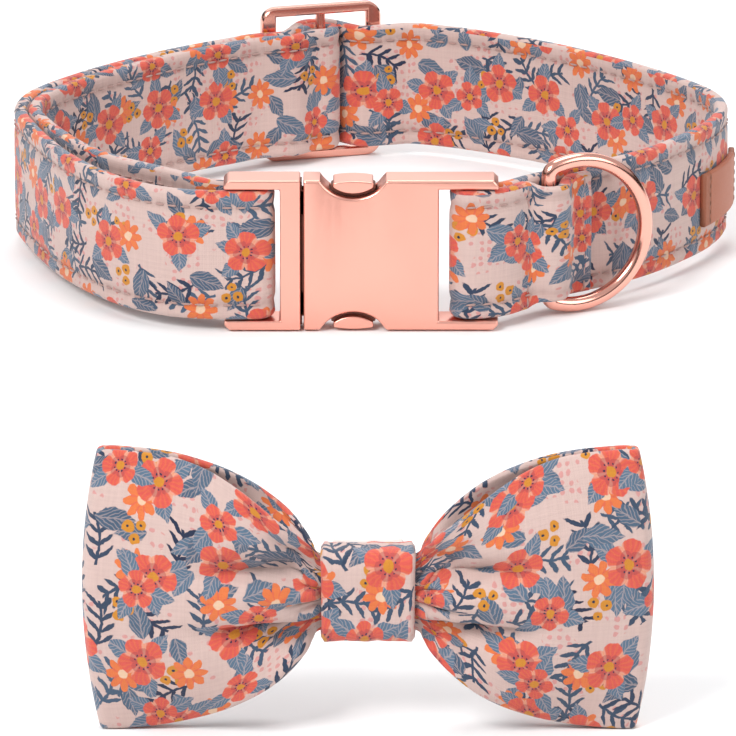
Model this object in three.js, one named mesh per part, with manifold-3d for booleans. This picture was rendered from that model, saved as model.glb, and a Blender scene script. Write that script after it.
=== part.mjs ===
// A pet collar with its detachable bow tie. The collar stands on its lower edge with the buckle
// in front (-Y), and the bow tie stands by itself in front of the collar. Millimetres, +Z up.
import * as THREE from 'three';
import { mergeVertices } from 'three/addons/utils/BufferGeometryUtils.js';
import Module from 'manifold-3d';

const wasm = await Module();
wasm.setup();

// Clearances
const gap = 0.3; // between pieces that touch on the real thing
const sink = 0.05; // how far two sewn layers of the strap run into each other

// Strap
const strapHeight = 25;
const strapThick = 2.4;
const strapEdge = 0.7; // the rounding of its long edges
const ringWidth = 137.6; // the collar's width over the strap, left to right
const ringDepth = 119; // the collar's depth at its back, from the buckle's front face
const gape = 10.5; // how far the two layers on the left stand apart at most, middle to middle
const endLength = 10; // the sewn end past the D-ring's bar
const pinchHeight = 22.4; // the sewn end's height where the D-ring squeezes it

// Buckle
const buckleHeight = 29.2;
const buckleShift = 1.9; // the buckle sits a little left of the collar's middle
const buckleThick = 6.6;
const frameWidth = 14.3; // the left half, over its arms and crossbar
const crossbarWidth = 3.8;
const seamWidth = 0.6; // between the two halves
const bodyWidth = 25.3; // the right half without its arms
const armLength = 11.1; // the right half's arms
const buckleBar = 1.9; // diameter of the bars that the strap turns round
const slotWidth = 2.1; // the open slot between a half's wall and the strap's fold
const plateThick = 1.5; // the right half's front and back walls
const pocketDepth = 17.5; // how far the prongs' pocket goes in
const pocketHeight = 25.2;
const lipReach = 1.2; // how far the left half's inner lip reaches into the pocket
const notchWidth = 12.5;
const notchDepth = 3.5;
const notchPlace = 9.3; // from the right half's left edge to the middle of its notches
const shoulder = 1.5; // the slanted side of a notch
const buttonGap = 0.9; // between a button and its notch
const buttonDrop = 0.5; // how far a button lies below the buckle's edge
const buttonRim = 0.9; // the straight rim at a button's ends
const prongHeight = 5;
const armChamfer = 0.9;
const metalEdge = 0.35; // the bevel of the cast pieces

// D-ring
const wire = 2.8;
const ringHeight = 31; // over the wire
const ringReach = 22.8; // from the outside of its straight bar to the outside of its bow
const ringCorner = 2; // bend radius next to the straight bar, at the wire's middle
const ringPlace = 15.5; // along the strap from the buckle bar to the D-ring's bar
const ringAngle = 16; // degrees that the ring stands off the strap
const ringLift = 0.85; // how far the ring's middle lies above the strap's middle

// Slider
const sliderHeight = 31.8;
const sliderWidth = 24.6;
const sliderThick = 2;
const railWidth = 3;
const sliderEnd = 1.9; // the height of its top and bottom
const sliderBar = 2;
const sliderCorner = 3;
const sliderLift = 1.1; // how far its middle lies above the strap's middle
const sliderSlant = 15; // degrees that the slider stands off the X axis, seen from above

// Label
const labelHeight = 10.5;
const labelLength = 19;
const labelThick = 1.2;
const labelPlace = 58; // along the strap from the buckle bar to the label's near edge
const labelDrop = 1.5; // how far its middle lies below the strap's middle

// Bow tie
const bowWidth = 92.4;
const bowHeight = 47.6;
const bowCloth = 1.4;
const bowDepth = 14; // between the middles of the two layers, at most
const bowCurve = 2.7; // how far the outer ends curve out past the corners
const bowDistance = 210; // from the buckle's front face to the bow's middle
const bowX = -0.6; // the middle of the bow from the middle of the collar
const knotWidth = 15.2;
const knotHeight = 15.6;
const knotDrop = 0.7; // how far the knot lies below the wings' middle
const knotCloth = 1.4;
const knotCorner = 2.2;
const pinchDepth = 4; // between the middles of the two layers inside the knot
const ridgeHeight = 8.4; // the pleat that runs out from the knot
const valleyDepth = 3.6; // beside that pleat, at most
const valleyWidth = 2.1;
const loopHeight = 11; // the inside of the slack elastic loop behind the knot
const loopDepth = 4.4;
const loopDrop = 1; // how far its middle lies below the knot's middle
const loopWidth = 12;
const loopThick = 1.2;
const loopCorner = 2.4;

// The strap's middle height: the collar stands on its slider.
const middle = sliderHeight / 2 - sliderLift;

const cloth = (colour) => new THREE.MeshStandardMaterial({ color: colour, roughness: 0.9, metalness: 0 });
const metal = () => new THREE.MeshStandardMaterial({ color: 0xe9a08c, roughness: 0.28, metalness: 1 });
const leather = () => new THREE.MeshStandardMaterial({ color: 0x8a4b33, roughness: 0.6, metalness: 0 });

// Smooth steps and tables

const smooth = (from, to, at) => {
  const t = THREE.MathUtils.clamp((at - from) / (to - from), 0, 1);
  return (1 - Math.cos(Math.PI * t)) / 2;
};

// A smooth value between the rows of a table: rows are [place, value], in rising places.
function between(rows, at) {
  const last = rows.length - 1;
  if (at <= rows[0][0]) return rows[0][1];
  if (at >= rows[last][0]) return rows[last][1];
  const i = rows.findIndex((row, k) => at >= row[0] && at <= rows[k + 1][0]);
  const slope = (k) => {
    const a = rows[Math.max(k - 1, 0)];
    const b = rows[Math.min(k + 1, last)];
    return (b[1] - a[1]) / (b[0] - a[0]);
  };
  const length = rows[i + 1][0] - rows[i][0];
  const t = (at - rows[i][0]) / length;
  const start = rows[i][1] * (1 + 2 * t) * (1 - t) ** 2 + slope(i) * length * t * (1 - t) ** 2;
  return start + rows[i + 1][1] * t * t * (3 - 2 * t) - slope(i + 1) * length * t * t * (1 - t);
}

// Closed meshes from rings of points

// Skins a row of rings, each an array of Vector3. A closed row joins its last ring to its first,
// and an open one gets a flat cap at each end.
function skin(rings, closed) {
  const size = rings[0].length;
  const points = rings.flat().flatMap((p) => [p.x, p.y, p.z]);
  const faces = [];
  for (let i = 0; i < rings.length - (closed ? 0 : 1); i++) {
    const here = i * size;
    const next = ((i + 1) % rings.length) * size;
    for (let j = 0; j < size; j++) {
      const k = (j + 1) % size;
      faces.push(here + j, here + k, next + k, here + j, next + k, next + j);
    }
  }
  if (!closed) {
    const last = (rings.length - 1) * size;
    for (let j = 1; j < size - 1; j++) {
      faces.push(0, j + 1, j, last, last + j, last + j + 1);
    }
  }
  const geometry = new THREE.BufferGeometry();
  geometry.setAttribute('position', new THREE.Float32BufferAttribute(points, 3));
  geometry.setIndex(faces);
  return volume(geometry) < 0 ? flipped(geometry) : geometry;
}

function volume(geometry) {
  const p = geometry.attributes.position;
  const at = (i) => new THREE.Vector3().fromBufferAttribute(p, geometry.index.getX(i));
  let sum = 0;
  for (let i = 0; i < geometry.index.count; i += 3) sum += at(i).dot(at(i + 1).cross(at(i + 2)));
  return sum / 6;
}

function flipped(geometry) {
  geometry.setIndex([...geometry.index.array].reverse());
  return geometry;
}

// Cuts and joins

function solid(geometry) {
  const bare = geometry.clone();
  bare.deleteAttribute('normal');
  bare.deleteAttribute('uv');
  const merged = mergeVertices(bare, 1e-4);
  const mesh = { numProp: 3, vertProperties: merged.attributes.position.array };
  return new wasm.Manifold(new wasm.Mesh({ ...mesh, triVerts: new Uint32Array(merged.index.array) }));
}

function surface(manifold) {
  const mesh = manifold.getMesh();
  const geometry = new THREE.BufferGeometry();
  geometry.setAttribute('position', new THREE.BufferAttribute(mesh.vertProperties, 3));
  geometry.setIndex(new THREE.BufferAttribute(mesh.triVerts, 1));
  return geometry;
}

function mesh(name, geometry, material) {
  const made = new THREE.Mesh(geometry, material);
  made.name = name;
  return made;
}

// A plate whose outline is drawn in X and Z, from one Y to another, with bevelled edges.
function plate(outline, from, to, bevel) {
  const geometry = new THREE.ExtrudeGeometry(outline, {
    depth: to - from - 2 * bevel,
    bevelEnabled: bevel > 0,
    bevelThickness: bevel,
    bevelSize: bevel,
    bevelOffset: -bevel,
    bevelSegments: 1,
    curveSegments: 10,
  });
  return geometry.rotateX(Math.PI / 2).translate(0, to - bevel, 0);
}

function rectangle(x0, z0, x1, z1) {
  const corners = [[x0, z0], [x1, z0], [x1, z1], [x0, z1]];
  return new THREE.Shape(corners.map(([x, z]) => new THREE.Vector2(x, z)));
}

// A round bar that stands along Z.
function post(x, y, diameter, height) {
  const geometry = new THREE.CylinderGeometry(diameter / 2, diameter / 2, height, 12);
  return geometry.rotateX(Math.PI / 2).translate(x, y, 0);
}

// The strap's way round the neck, seen from above

const buckleWidth = frameWidth + seamWidth + bodyWidth + armLength;
const buckleLeft = -buckleWidth / 2 - buckleShift;
const frameRight = buckleLeft + frameWidth;
const bodyLeft = frameRight + seamWidth;
const bodyRight = bodyLeft + bodyWidth;
const barY = buckleThick / 2;
const wrap = buckleBar / 2 + gap + strapThick / 2; // from a bar's middle to the strap's middle
const barRight = bodyRight + slotWidth + wrap + strapThick / 2;
const barLeft = frameRight - crossbarWidth - slotWidth / 2 - wrap - strapThick / 2;
const halfRing = (ringWidth - strapThick) / 2;
const backY = ringDepth - strapThick / 2;

// The strap's middle line: across is the share of the way from a bar to the collar's side, and back
// is the share of the collar's depth.
const rightWay = [
  { across: 0.115, back: 0.052 },
  { across: 0.22, back: 0.09 },
  { across: 0.38, back: 0.142 },
  { across: 0.548, back: 0.188 },
  { across: 0.684, back: 0.24 },
  { across: 0.815, back: 0.31 },
  { across: 0.943, back: 0.4 },
  { across: 1, back: 0.49 },
  { across: 0.97, back: 0.575 },
  { across: 0.77, back: 0.7 },
  { across: 0.43, back: 0.845 },
  { across: 0.18, back: 0.92 },
  { across: -0.04, back: 0.971 },
  { across: -0.22, back: 0.996 },
];
const leftWay = [
  { across: 0.13, back: 0.903 },
  { across: 0.41, back: 0.825 },
  { across: 0.76, back: 0.69 },
  { across: 0.965, back: 0.57 },
  { across: 1, back: 0.484 },
  { across: 0.949, back: 0.392 },
  { across: 0.862, back: 0.292 },
  { across: 0.775, back: 0.212 },
  { across: 0.644, back: 0.126 },
  { across: 0.482, back: 0.055 },
  { across: 0.32, back: 0.018 },
  { across: 0.17, back: 0.007 },
];
const flat = (x, y) => new THREE.Vector3(x, y, 0);
const fromRight = ({ across, back }) => flat(barRight + across * (halfRing - barRight), back * backY);
const fromLeft = ({ across, back }) => flat(barLeft - across * (halfRing + barLeft), back * backY);
const slant = THREE.MathUtils.degToRad(sliderSlant);
const sliderX = -0.14 * halfRing;
const sliderY = 0.958 * backY;
const alongSlider = (far) => flat(sliderX - far * Math.cos(slant), sliderY - far * Math.sin(slant));
const straight = sliderWidth / 2 + strapThick; // the strap is straight this far each side of the slider
const smoothLine = (points) => new THREE.CatmullRomCurve3(points, false, 'centripetal');
const spine = new THREE.CurvePath();
spine.add(smoothLine([
  flat(barRight, barY + wrap), ...rightWay.map(fromRight),
  alongSlider(-straight), alongSlider(-straight / 2), alongSlider(0),
]));
spine.add(smoothLine([
  alongSlider(0), alongSlider(straight / 2), alongSlider(straight),
  ...leftWay.map(fromLeft), flat(barLeft, barY - wrap),
]));
for (const part of spine.curves) part.arcLengthDivisions = 1500;
const [sliderAlong, spineLength] = spine.getCurveLengths();

// A point beside the strap's middle line: this far along it, and so far out from it.
function beside(along, out) {
  const share = THREE.MathUtils.clamp(along / spineLength, 0, 1);
  const at = spine.getPointAt(share);
  const ahead = spine.getTangentAt(share);
  return flat(at.x + ahead.y * out, at.y - ahead.x * out);
}

// The strap's layers: how far each runs outside the middle line

const half = strapThick / 2;
const sewn = strapThick - sink;
const ringOut = half + gap + wire / 2; // the D-ring's bar lies on the main layer
const overRing = ringOut + wire / 2 + gap + half;
const tunnel = 6; // the sewn end rises over the D-ring's bar within this length each side
const sliderOut = half + gap + sliderThick / 2; // the slider's middle plane
const sliderWrap = sliderBar / 2 + gap + half;
const overSlider = sliderOut + sliderWrap + half + gap + half;
const sliderInside = sliderWidth / 2 - railWidth; // from the slider's middle to its rails
const nested = -(strapThick + gap);

const mainOut = (along) => {
  const away = Math.abs(along - sliderAlong);
  return overSlider * smooth(sliderInside - gap, half, away);
};
const endOut = (along) => {
  const bump = smooth(tunnel, 0, Math.abs(along - ringPlace));
  return sewn + (2 * wrap - sewn) * smooth(tunnel * 1.5, 0, along) + (overRing - sewn) * bump;
};
const endHeight = (along) => {
  const free = smooth(strapThick, tunnel, Math.abs(along - ringPlace));
  return pinchHeight + (strapHeight - pinchHeight) * (along < ringPlace ? free : free * 0.4);
};
const leftLength = spineLength - sliderAlong;
const gapeRows = [[0.52, nested], [0.7, nested - (gape + nested) * 0.35], [0.86, -gape], [1, -2 * wrap]];
const innerOut = (along) => {
  const rise = -nested * smooth(sliderInside - gap - half, half, along - sliderAlong);
  return between(gapeRows, (along - sliderAlong) / leftLength) + rise;
};

// Stations along a layer: X, Y and the strap's height there.
function layer(from, to, out, height = () => strapHeight) {
  const steps = Math.ceil(Math.abs(to - from) / 0.7);
  return Array.from({ length: steps + 1 }, (_, i) => {
    const along = from + ((to - from) * i) / steps;
    return beside(along, out(along)).setZ(height(along));
  });
}

// Stations round a bar, from one angle to another in degrees.
function turn(x, y, from, to, radius) {
  const steps = 10;
  return Array.from({ length: steps - 1 }, (_, i) => {
    const angle = THREE.MathUtils.degToRad(from + ((to - from) * (i + 1)) / steps);
    return new THREE.Vector3(x + radius * Math.cos(angle), y + radius * Math.sin(angle), strapHeight);
  });
}

// Leaves out the stations that lie almost on a straight line between their neighbours.
function thinned(points, within) {
  if (points.length < 3) return points;
  const line = new THREE.Line3(points[0], points.at(-1));
  const off = points.map((p) => line.closestPointToPoint(p, true, new THREE.Vector3()).distanceTo(p));
  const worst = off.indexOf(Math.max(...off));
  if (off[worst] <= within) return [points[0], points.at(-1)];
  const before = thinned(points.slice(0, worst + 1), within);
  return [...before.slice(0, -1), ...thinned(points.slice(worst), within)];
}

// A band that stands on edge and follows its stations, with its long edges rounded.
function band(stations, thick, edge) {
  const points = thinned(stations, 0.05);
  const rings = points.map((p, i) => {
    const ahead = points[Math.min(i + 1, points.length - 1)].clone().sub(points[Math.max(i - 1, 0)]);
    const out = flat(ahead.y, -ahead.x).normalize();
    const high = p.z / 2;
    const wide = thick / 2;
    const section = [
      [wide, high - edge], [wide - edge, high], [edge - wide, high], [-wide, high - edge],
      [-wide, edge - high], [edge - wide, -high], [wide - edge, -high], [wide, edge - high],
    ];
    return section.map(([side, up]) => new THREE.Vector3(p.x + out.x * side, p.y + out.y * side, up));
  });
  return skin(rings, false);
}

function strap() {
  const end = layer(ringPlace + endLength, 0, endOut, endHeight);
  const roundRight = turn(barRight, barY, 270, 90, wrap);
  const main = layer(0, spineLength, mainOut);
  const roundLeft = turn(barLeft, barY, -90, 90, wrap);
  const inner = layer(spineLength, sliderAlong, innerOut);
  const bar = beside(sliderAlong, sliderOut);
  const roundSlider = turn(bar.x, bar.y, sliderSlant - 90, sliderSlant + 90, sliderWrap);
  const tail = [[0, 1], [-0.45, 0.97], [-0.85, 0.82], [-1.44, 0.28], [-1.84, -0.52]].map(([x, y]) =>
    flat(x, y).multiplyScalar(sliderWrap).applyAxisAngle(new THREE.Vector3(0, 0, 1), slant).add(bar));
  for (const p of tail) p.z = strapHeight;
  const first = band([...end, ...roundRight, ...main.slice(0, 3)], strapThick, strapEdge);
  const second = band([...main, ...roundLeft, ...inner, ...roundSlider, tail[0]], strapThick, strapEdge);
  const third = band([...roundSlider.slice(-2), ...tail], strapThick, strapEdge);
  const joined = [first, second, third].map(solid).reduce((all, next) => all.add(next));
  return surface(joined).translate(0, 0, middle);
}

// The buckle's left half: a frame that is open to the left, its bar, a lip that fills the seam from
// inside, and two prongs with buttons

const high = buckleHeight / 2;
const armInside = strapHeight / 2 + gap;
const notchX = bodyLeft + notchPlace;
const notchRadius = (notchWidth ** 2 / 4 + notchDepth ** 2) / (2 * notchDepth);
const notchZ = high - notchDepth + notchRadius; // the middle of the notch's round bottom

function shape(points) {
  return new THREE.Shape(points.map(([x, z]) => new THREE.Vector2(x, z)));
}

function frameOutline() {
  const inside = frameRight - crossbarWidth;
  const upper = [[buckleLeft + armChamfer, high], [buckleLeft, high - armChamfer], [buckleLeft, armInside]];
  const lower = upper.map(([x, z]) => [x, -z]).reverse();
  const window = [[inside, armInside], [inside, -armInside]];
  return shape([[frameRight, high], ...upper, ...window, ...lower, [frameRight, -high]]);
}

// A prong runs from the crossbar into the pocket, and its head carries the round button.
function prong(side) {
  const play = plateThick + gap;
  const root = frameRight - crossbarWidth / 2;
  const top = pocketHeight / 2 - gap;
  const reach = notchX + notchWidth / 2;
  const head = notchWidth / 3;
  const blade = shape([
    [root, top - prongHeight], [reach, top - prongHeight], [reach, top - prongHeight / 3],
    [notchX + head, top], [notchX + head, high - notchDepth / 3], [notchX - head, high - notchDepth / 3],
    [notchX - head, top], [root, top],
  ]);
  const radius = notchRadius - buttonGap;
  const level = high - buttonDrop;
  const rim = level - buttonRim;
  const angle = Math.asin((notchZ - rim) / radius);
  const across = radius * Math.cos(angle);
  const button = new THREE.Shape();
  button.moveTo(notchX - across, level);
  button.absarc(notchX, notchZ, radius, Math.PI + angle, 2 * Math.PI - angle, false);
  button.lineTo(notchX + across, level);
  const parts = [
    plate(blade, play, buckleThick - play, 0),
    plate(button, gap, buckleThick - gap, metalEdge / 2),
  ];
  return parts.map(solid).map((part) => (side < 0 ? part.mirror([0, 0, 1]) : part));
}

function buckleFrame() {
  const outline = solid(plate(frameOutline(), 0, buckleThick, metalEdge));
  const bar = solid(post(barLeft, barY, buckleBar, 2 * armInside + metalEdge));
  const lipHigh = pocketHeight / 2 - gap;
  const across = rectangle(frameRight - crossbarWidth / 2, -lipHigh, bodyLeft + lipReach, lipHigh);
  const lip = solid(plate(across, plateThick + gap, buckleThick - plateThick - gap, 0));
  return surface([bar, lip, ...prong(1), ...prong(-1)].reduce((all, next) => all.add(next), outline));
}

// The buckle's right half: a flat box with two notches, a pocket for the prongs, and open arms

function bodyOutline() {
  const outline = new THREE.Shape();
  const turnIn = Math.asin((notchZ - high) / notchRadius);
  const low = shoulder * 1.2;
  const turnOut = Math.asin((notchZ - high + low) / notchRadius);
  const flank = notchX + Math.sqrt(notchRadius ** 2 - (notchZ - high + low) ** 2);
  const armEnd = bodyRight + armLength;
  outline.moveTo(bodyLeft, -high);
  outline.lineTo(bodyLeft, high);
  outline.absarc(notchX, notchZ, notchRadius, Math.PI + turnIn, 2 * Math.PI - turnOut, false);
  outline.lineTo(flank + shoulder, high);
  outline.lineTo(armEnd - armChamfer, high);
  outline.lineTo(armEnd, high - armChamfer);
  outline.lineTo(armEnd, armInside);
  outline.lineTo(bodyRight, armInside);
  outline.lineTo(bodyRight, -armInside);
  outline.lineTo(armEnd, -armInside);
  outline.lineTo(armEnd, armChamfer - high);
  outline.lineTo(armEnd - armChamfer, -high);
  outline.lineTo(flank + shoulder, -high);
  outline.absarc(notchX, -notchZ, notchRadius, turnOut, Math.PI - turnIn, false);
  return outline;
}

function buckleBody() {
  const outline = solid(plate(bodyOutline(), 0, buckleThick, metalEdge));
  const pocket = rectangle(bodyLeft - 1, -pocketHeight / 2, bodyLeft + pocketDepth, pocketHeight / 2);
  const cut = solid(plate(pocket, plateThick, buckleThick - plateThick, 0));
  const bar = solid(post(barRight, barY, buckleBar, 2 * armInside + metalEdge));
  return surface(outline.subtract(cut).add(bar));
}

// The D-ring, in its own frame: its straight bar stands on the Z axis and its bow reaches along +X.
function dRing() {
  const bow = (ringHeight - wire) / 2;
  const roundX = ringReach - wire - bow;
  const cornerZ = Math.sqrt((bow - ringCorner) ** 2 - (roundX - ringCorner) ** 2);
  const meet = Math.atan2(cornerZ, ringCorner - roundX);
  const arc = (x, z, radius, from, to, steps) => Array.from({ length: steps }, (_, i) => {
    const angle = from + ((to - from) * i) / (steps - 1);
    const out = new THREE.Vector3(Math.cos(angle), 0, Math.sin(angle));
    return { at: new THREE.Vector3(x, 0, z).addScaledVector(out, radius), out };
  });
  const upper = arc(ringCorner, cornerZ, ringCorner, Math.PI, meet, 5);
  const round = arc(roundX, 0, bow, meet, -meet, 23);
  const lower = arc(ringCorner, -cornerZ, ringCorner, -meet, -Math.PI, 5);
  const line = [...upper, ...round.slice(1, -1), ...lower];
  const rings = line.map(({ at, out }) => Array.from({ length: 10 }, (_, i) => {
    const angle = (i / 10) * 2 * Math.PI;
    const point = at.clone().addScaledVector(out, (wire / 2) * Math.cos(angle));
    return point.setY((wire / 2) * Math.sin(angle));
  }));
  return skin(rings, true);
}

// The slider, in its own frame: X along the strap, Y out of the collar
function slider() {
  const w = sliderWidth / 2;
  const h = sliderHeight / 2;
  const outline = new THREE.Shape();
  outline.moveTo(-w, 0);
  const corners = [[-1, 1], [1, 1], [1, -1], [-1, -1]];
  corners.forEach(([x, z], i) => {
    const from = Math.PI - (i * Math.PI) / 2;
    const r = sliderCorner;
    outline.absarc(x * (w - r), z * (h - r), r, from, from - Math.PI / 2, true);
  });
  const side = sliderInside;
  const top = h - sliderEnd;
  outline.holes.push(shape([[-side, -top], [side, -top], [side, top], [-side, top]]));
  const frame = solid(plate(outline, -sliderThick / 2, sliderThick / 2, metalEdge));
  const bar = solid(post(0, 0, sliderBar, 2 * (h - sliderEnd) + metalEdge));
  return surface(frame.add(bar));
}

function label() {
  const out = () => half + gap + labelThick / 2;
  const stations = layer(labelPlace, labelPlace + labelLength, out, () => labelHeight);
  return band(stations, labelThick, labelThick / 4).translate(0, 0, middle - labelDrop);
}

// The bow tie, in its own frame: X across, Y to the back, Z up from the middle of the knot

const edgeShare = 0.8; // an open edge's depth as a share of the wing's depth there
const edgeCurve = 2.4; // how late the layers close towards their edges
const bowEnd = bowWidth / 2 - bowCloth / 2;
const bowHalf = bowHeight / 2;
const knotHalf = knotWidth / 2;
const knotInside = knotHeight / 2 - knotCloth - gap; // the wings' half height inside the knot

// The wing's sections: out is the share of the way from the knot to the outer end, tall the share of
// the height beyond the knot's, deep the share of the depth beyond the pinch's, open how far the top
// and bottom edges of the two layers gape, and fold the share of the valleys beside the middle pleat.
const wing = [
  { out: 0, tall: 0, deep: 0, open: 1, fold: 0.22 },
  { out: 0.04, tall: 0.08, deep: 0.16, open: 1, fold: 0.5 },
  { out: 0.09, tall: 0.22, deep: 0.4, open: 1, fold: 0.85 },
  { out: 0.17, tall: 0.37, deep: 0.72, open: 1, fold: 1 },
  { out: 0.28, tall: 0.55, deep: 0.93, open: 0.85, fold: 0.85 },
  { out: 0.4, tall: 0.71, deep: 1, open: 0.55, fold: 0.5 },
  { out: 0.52, tall: 0.83, deep: 0.95, open: 0.25, fold: 0.2 },
  { out: 0.65, tall: 0.92, deep: 0.78, open: 0.05, fold: 0.05 },
  { out: 0.78, tall: 0.97, deep: 0.56, open: 0, fold: 0 },
  { out: 0.88, tall: 0.99, deep: 0.36, open: 0, fold: 0 },
  { out: 0.94, tall: 1, deep: 0.24, open: 0, fold: 0 },
  { out: 0.975, tall: 1, deep: 0.12, open: 0, fold: 0 },
  { out: 0.993, tall: 1, deep: -0.12, open: 0, fold: 0 },
  { out: 1, tall: 1, deep: -0.4, open: 0, fold: 0 },
];

// A point of the wings' middle surface: a row of the table on one side (-1 left, 1 right) and one
// face (-1 front, 1 back), at a share of the height from -1 to 1.
function wingPoint(row, side, face, up) {
  const end = bowEnd - bowCurve * up * up;
  const x = knotHalf + row.out * (end - knotHalf);
  const z = up * (knotInside + row.tall * (bowHalf - knotInside)) - knotDrop * (1 - row.tall);
  const full = Math.max(0, pinchDepth / 2 + (row.deep * (bowDepth - pinchDepth)) / 2);
  const shut = Math.min(full, bowCloth / 2 + gap / 2);
  const edge = shut + row.open * (edgeShare * full - shut);
  const depth = full + (edge - full) * Math.abs(up) ** edgeCurve;
  const beyond = (Math.abs(z + knotDrop) - ridgeHeight / 2) / valleyWidth;
  const valley = row.fold * valleyDepth * Math.exp(-beyond * beyond);
  return new THREE.Vector3(side * x, face * (depth - valley), z);
}

function wings() {
  const across = 14;
  const out = [...wing];
  const back = [...wing].reverse().slice(1);
  const rightLoop = [...out.map((row) => [row, 1, -1]), ...back.map((row) => [row, 1, 1])];
  const leftLoop = [...out.map((row) => [row, -1, 1]), ...back.map((row) => [row, -1, -1])];
  const line = [...rightLoop, ...leftLoop];
  const grid = line.map(([row, side, face]) => Array.from({ length: across + 1 }, (_, j) =>
    wingPoint(row, side, face, (2 * j) / across - 1)));
  const count = grid.length;
  const rings = grid.map((column, i) => {
    const before = grid[(i + count - 1) % count];
    const after = grid[(i + 1) % count];
    const walls = column.map((p, j) => {
      const along = after[j].clone().sub(before[j]);
      const up = column[Math.min(j + 1, across)].clone().sub(column[Math.max(j - 1, 0)]);
      const normal = along.cross(up).normalize().multiplyScalar(bowCloth / 2);
      return [p.clone().add(normal), p.clone().sub(normal)];
    });
    return [...walls.map((wall) => wall[0]), ...walls.map((wall) => wall[1]).reverse()];
  });
  return skin(rings, true);
}

// A band bent round the X axis: a rounded rectangle seen from the side, at its middle line.
function bent(tall, deep, corner, thick, width) {
  const corners = [[1, 1], [1, -1], [-1, -1], [-1, 1]];
  const line = corners.flatMap(([y, z], i) => Array.from({ length: 5 }, (_, k) => {
    const angle = Math.PI / 2 - (i * Math.PI) / 2 - (k / 4) * (Math.PI / 2);
    const out = new THREE.Vector3(0, Math.cos(angle), Math.sin(angle));
    const at = new THREE.Vector3(0, y * (deep / 2 - corner), z * (tall / 2 - corner));
    return { at: at.addScaledVector(out, corner), out };
  }));
  const edge = thick / 4;
  const section = [
    [-width / 2, edge - thick / 2], [edge - width / 2, -thick / 2], [width / 2 - edge, -thick / 2],
    [width / 2, edge - thick / 2], [width / 2, thick / 2 - edge], [width / 2 - edge, thick / 2],
    [edge - width / 2, thick / 2], [-width / 2, thick / 2 - edge],
  ];
  const ring = ({ at, out }) => section.map(([x, rise]) => at.clone().addScaledVector(out, rise).setX(x));
  return skin(line.map(ring), true);
}

const knotDeep = pinchDepth + bowCloth + 2 * gap + knotCloth; // over the knot cloth's middle line

// The collar and the bow tie, moved so that the origin is under the middle of the whole

const collar = new THREE.Group();
collar.add(mesh('strap', strap(), cloth(0xe9cfc8)));
const frameMesh = mesh('buckle_frame', buckleFrame(), metal());
const bodyMesh = mesh('buckle_body', buckleBody(), metal());
collar.add(frameMesh, bodyMesh);
for (const side of [frameMesh, bodyMesh]) side.position.z = middle;

const hinge = new THREE.Group();
hinge.position.copy(beside(ringPlace, ringOut)).setZ(middle + ringLift);
const onward = spine.getTangentAt(ringPlace / spineLength);
hinge.rotation.z = Math.atan2(onward.y, onward.x) - THREE.MathUtils.degToRad(ringAngle);
hinge.add(mesh('d_ring', dRing(), metal()));
collar.add(hinge);

const sliderMesh = mesh('slider', slider(), metal());
sliderMesh.position.copy(beside(sliderAlong, sliderOut)).setZ(middle + sliderLift);
sliderMesh.rotation.z = slant;
collar.add(sliderMesh);
collar.add(mesh('leather_label', label(), leather()));

const bow = new THREE.Group();
bow.position.set(bowX, -bowDistance, bowHalf);
bow.add(mesh('bow_wings', wings(), cloth(0xe9cfc8)));
const knot = bent(knotHeight - knotCloth, knotDeep, knotCorner, knotCloth, knotWidth);
const knotMesh = mesh('bow_knot', knot, cloth(0xe9cfc8));
knotMesh.position.z = -knotDrop;
bow.add(knotMesh);
const loop = bent(loopHeight + loopThick, loopDepth + loopThick, loopCorner, loopThick, loopWidth);
const loopMesh = mesh('bow_loop', loop, cloth(0xf2e6e2));
const loopY = knotDeep / 2 + knotCloth / 2 + gap + loopThick + loopDepth / 2;
loopMesh.position.set(0, loopY, -knotDrop - loopDrop);
bow.add(loopMesh);

const part = new THREE.Group();
part.add(collar, bow);
const box = new THREE.Box3().setFromObject(part);
const centre = box.getCenter(new THREE.Vector3());
part.position.set(-centre.x, -centre.y, -box.min.z);

export default part;
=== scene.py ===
"""A pet collar and its bow tie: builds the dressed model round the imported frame.

Lengths in the tables are millimetres, as in the part's own source, and meshes are made in metres.
"""
import math

import bmesh
import bpy
import numpy as np
from mathutils import Matrix, Vector


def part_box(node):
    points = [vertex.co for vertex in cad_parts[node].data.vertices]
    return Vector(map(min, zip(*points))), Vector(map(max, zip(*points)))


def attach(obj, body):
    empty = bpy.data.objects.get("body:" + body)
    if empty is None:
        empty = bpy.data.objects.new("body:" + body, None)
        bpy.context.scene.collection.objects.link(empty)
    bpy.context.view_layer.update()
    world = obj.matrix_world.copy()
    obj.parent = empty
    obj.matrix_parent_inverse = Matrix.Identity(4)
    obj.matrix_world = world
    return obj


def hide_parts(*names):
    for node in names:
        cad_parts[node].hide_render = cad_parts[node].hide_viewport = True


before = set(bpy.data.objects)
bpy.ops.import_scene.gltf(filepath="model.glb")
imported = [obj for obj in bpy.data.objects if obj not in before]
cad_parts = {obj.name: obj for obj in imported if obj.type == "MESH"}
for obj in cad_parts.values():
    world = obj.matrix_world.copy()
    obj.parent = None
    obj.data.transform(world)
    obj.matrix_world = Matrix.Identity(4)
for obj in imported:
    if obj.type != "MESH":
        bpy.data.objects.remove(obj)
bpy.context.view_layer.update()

bl_info = {
    "name": "Pet Bow Tie Collar",
    "version": (1, 0, 0),
    "blender": (4, 5, 0),
    "location": "3D View > Sidebar > Collar",
    "description": "Builds a padded pet collar, its metal hardware and its bow tie",
    "category": "Object",
}

MM = 0.001
TAU = 2 * math.pi
NEAR = 1e-3  # a difference too small to matter

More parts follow.
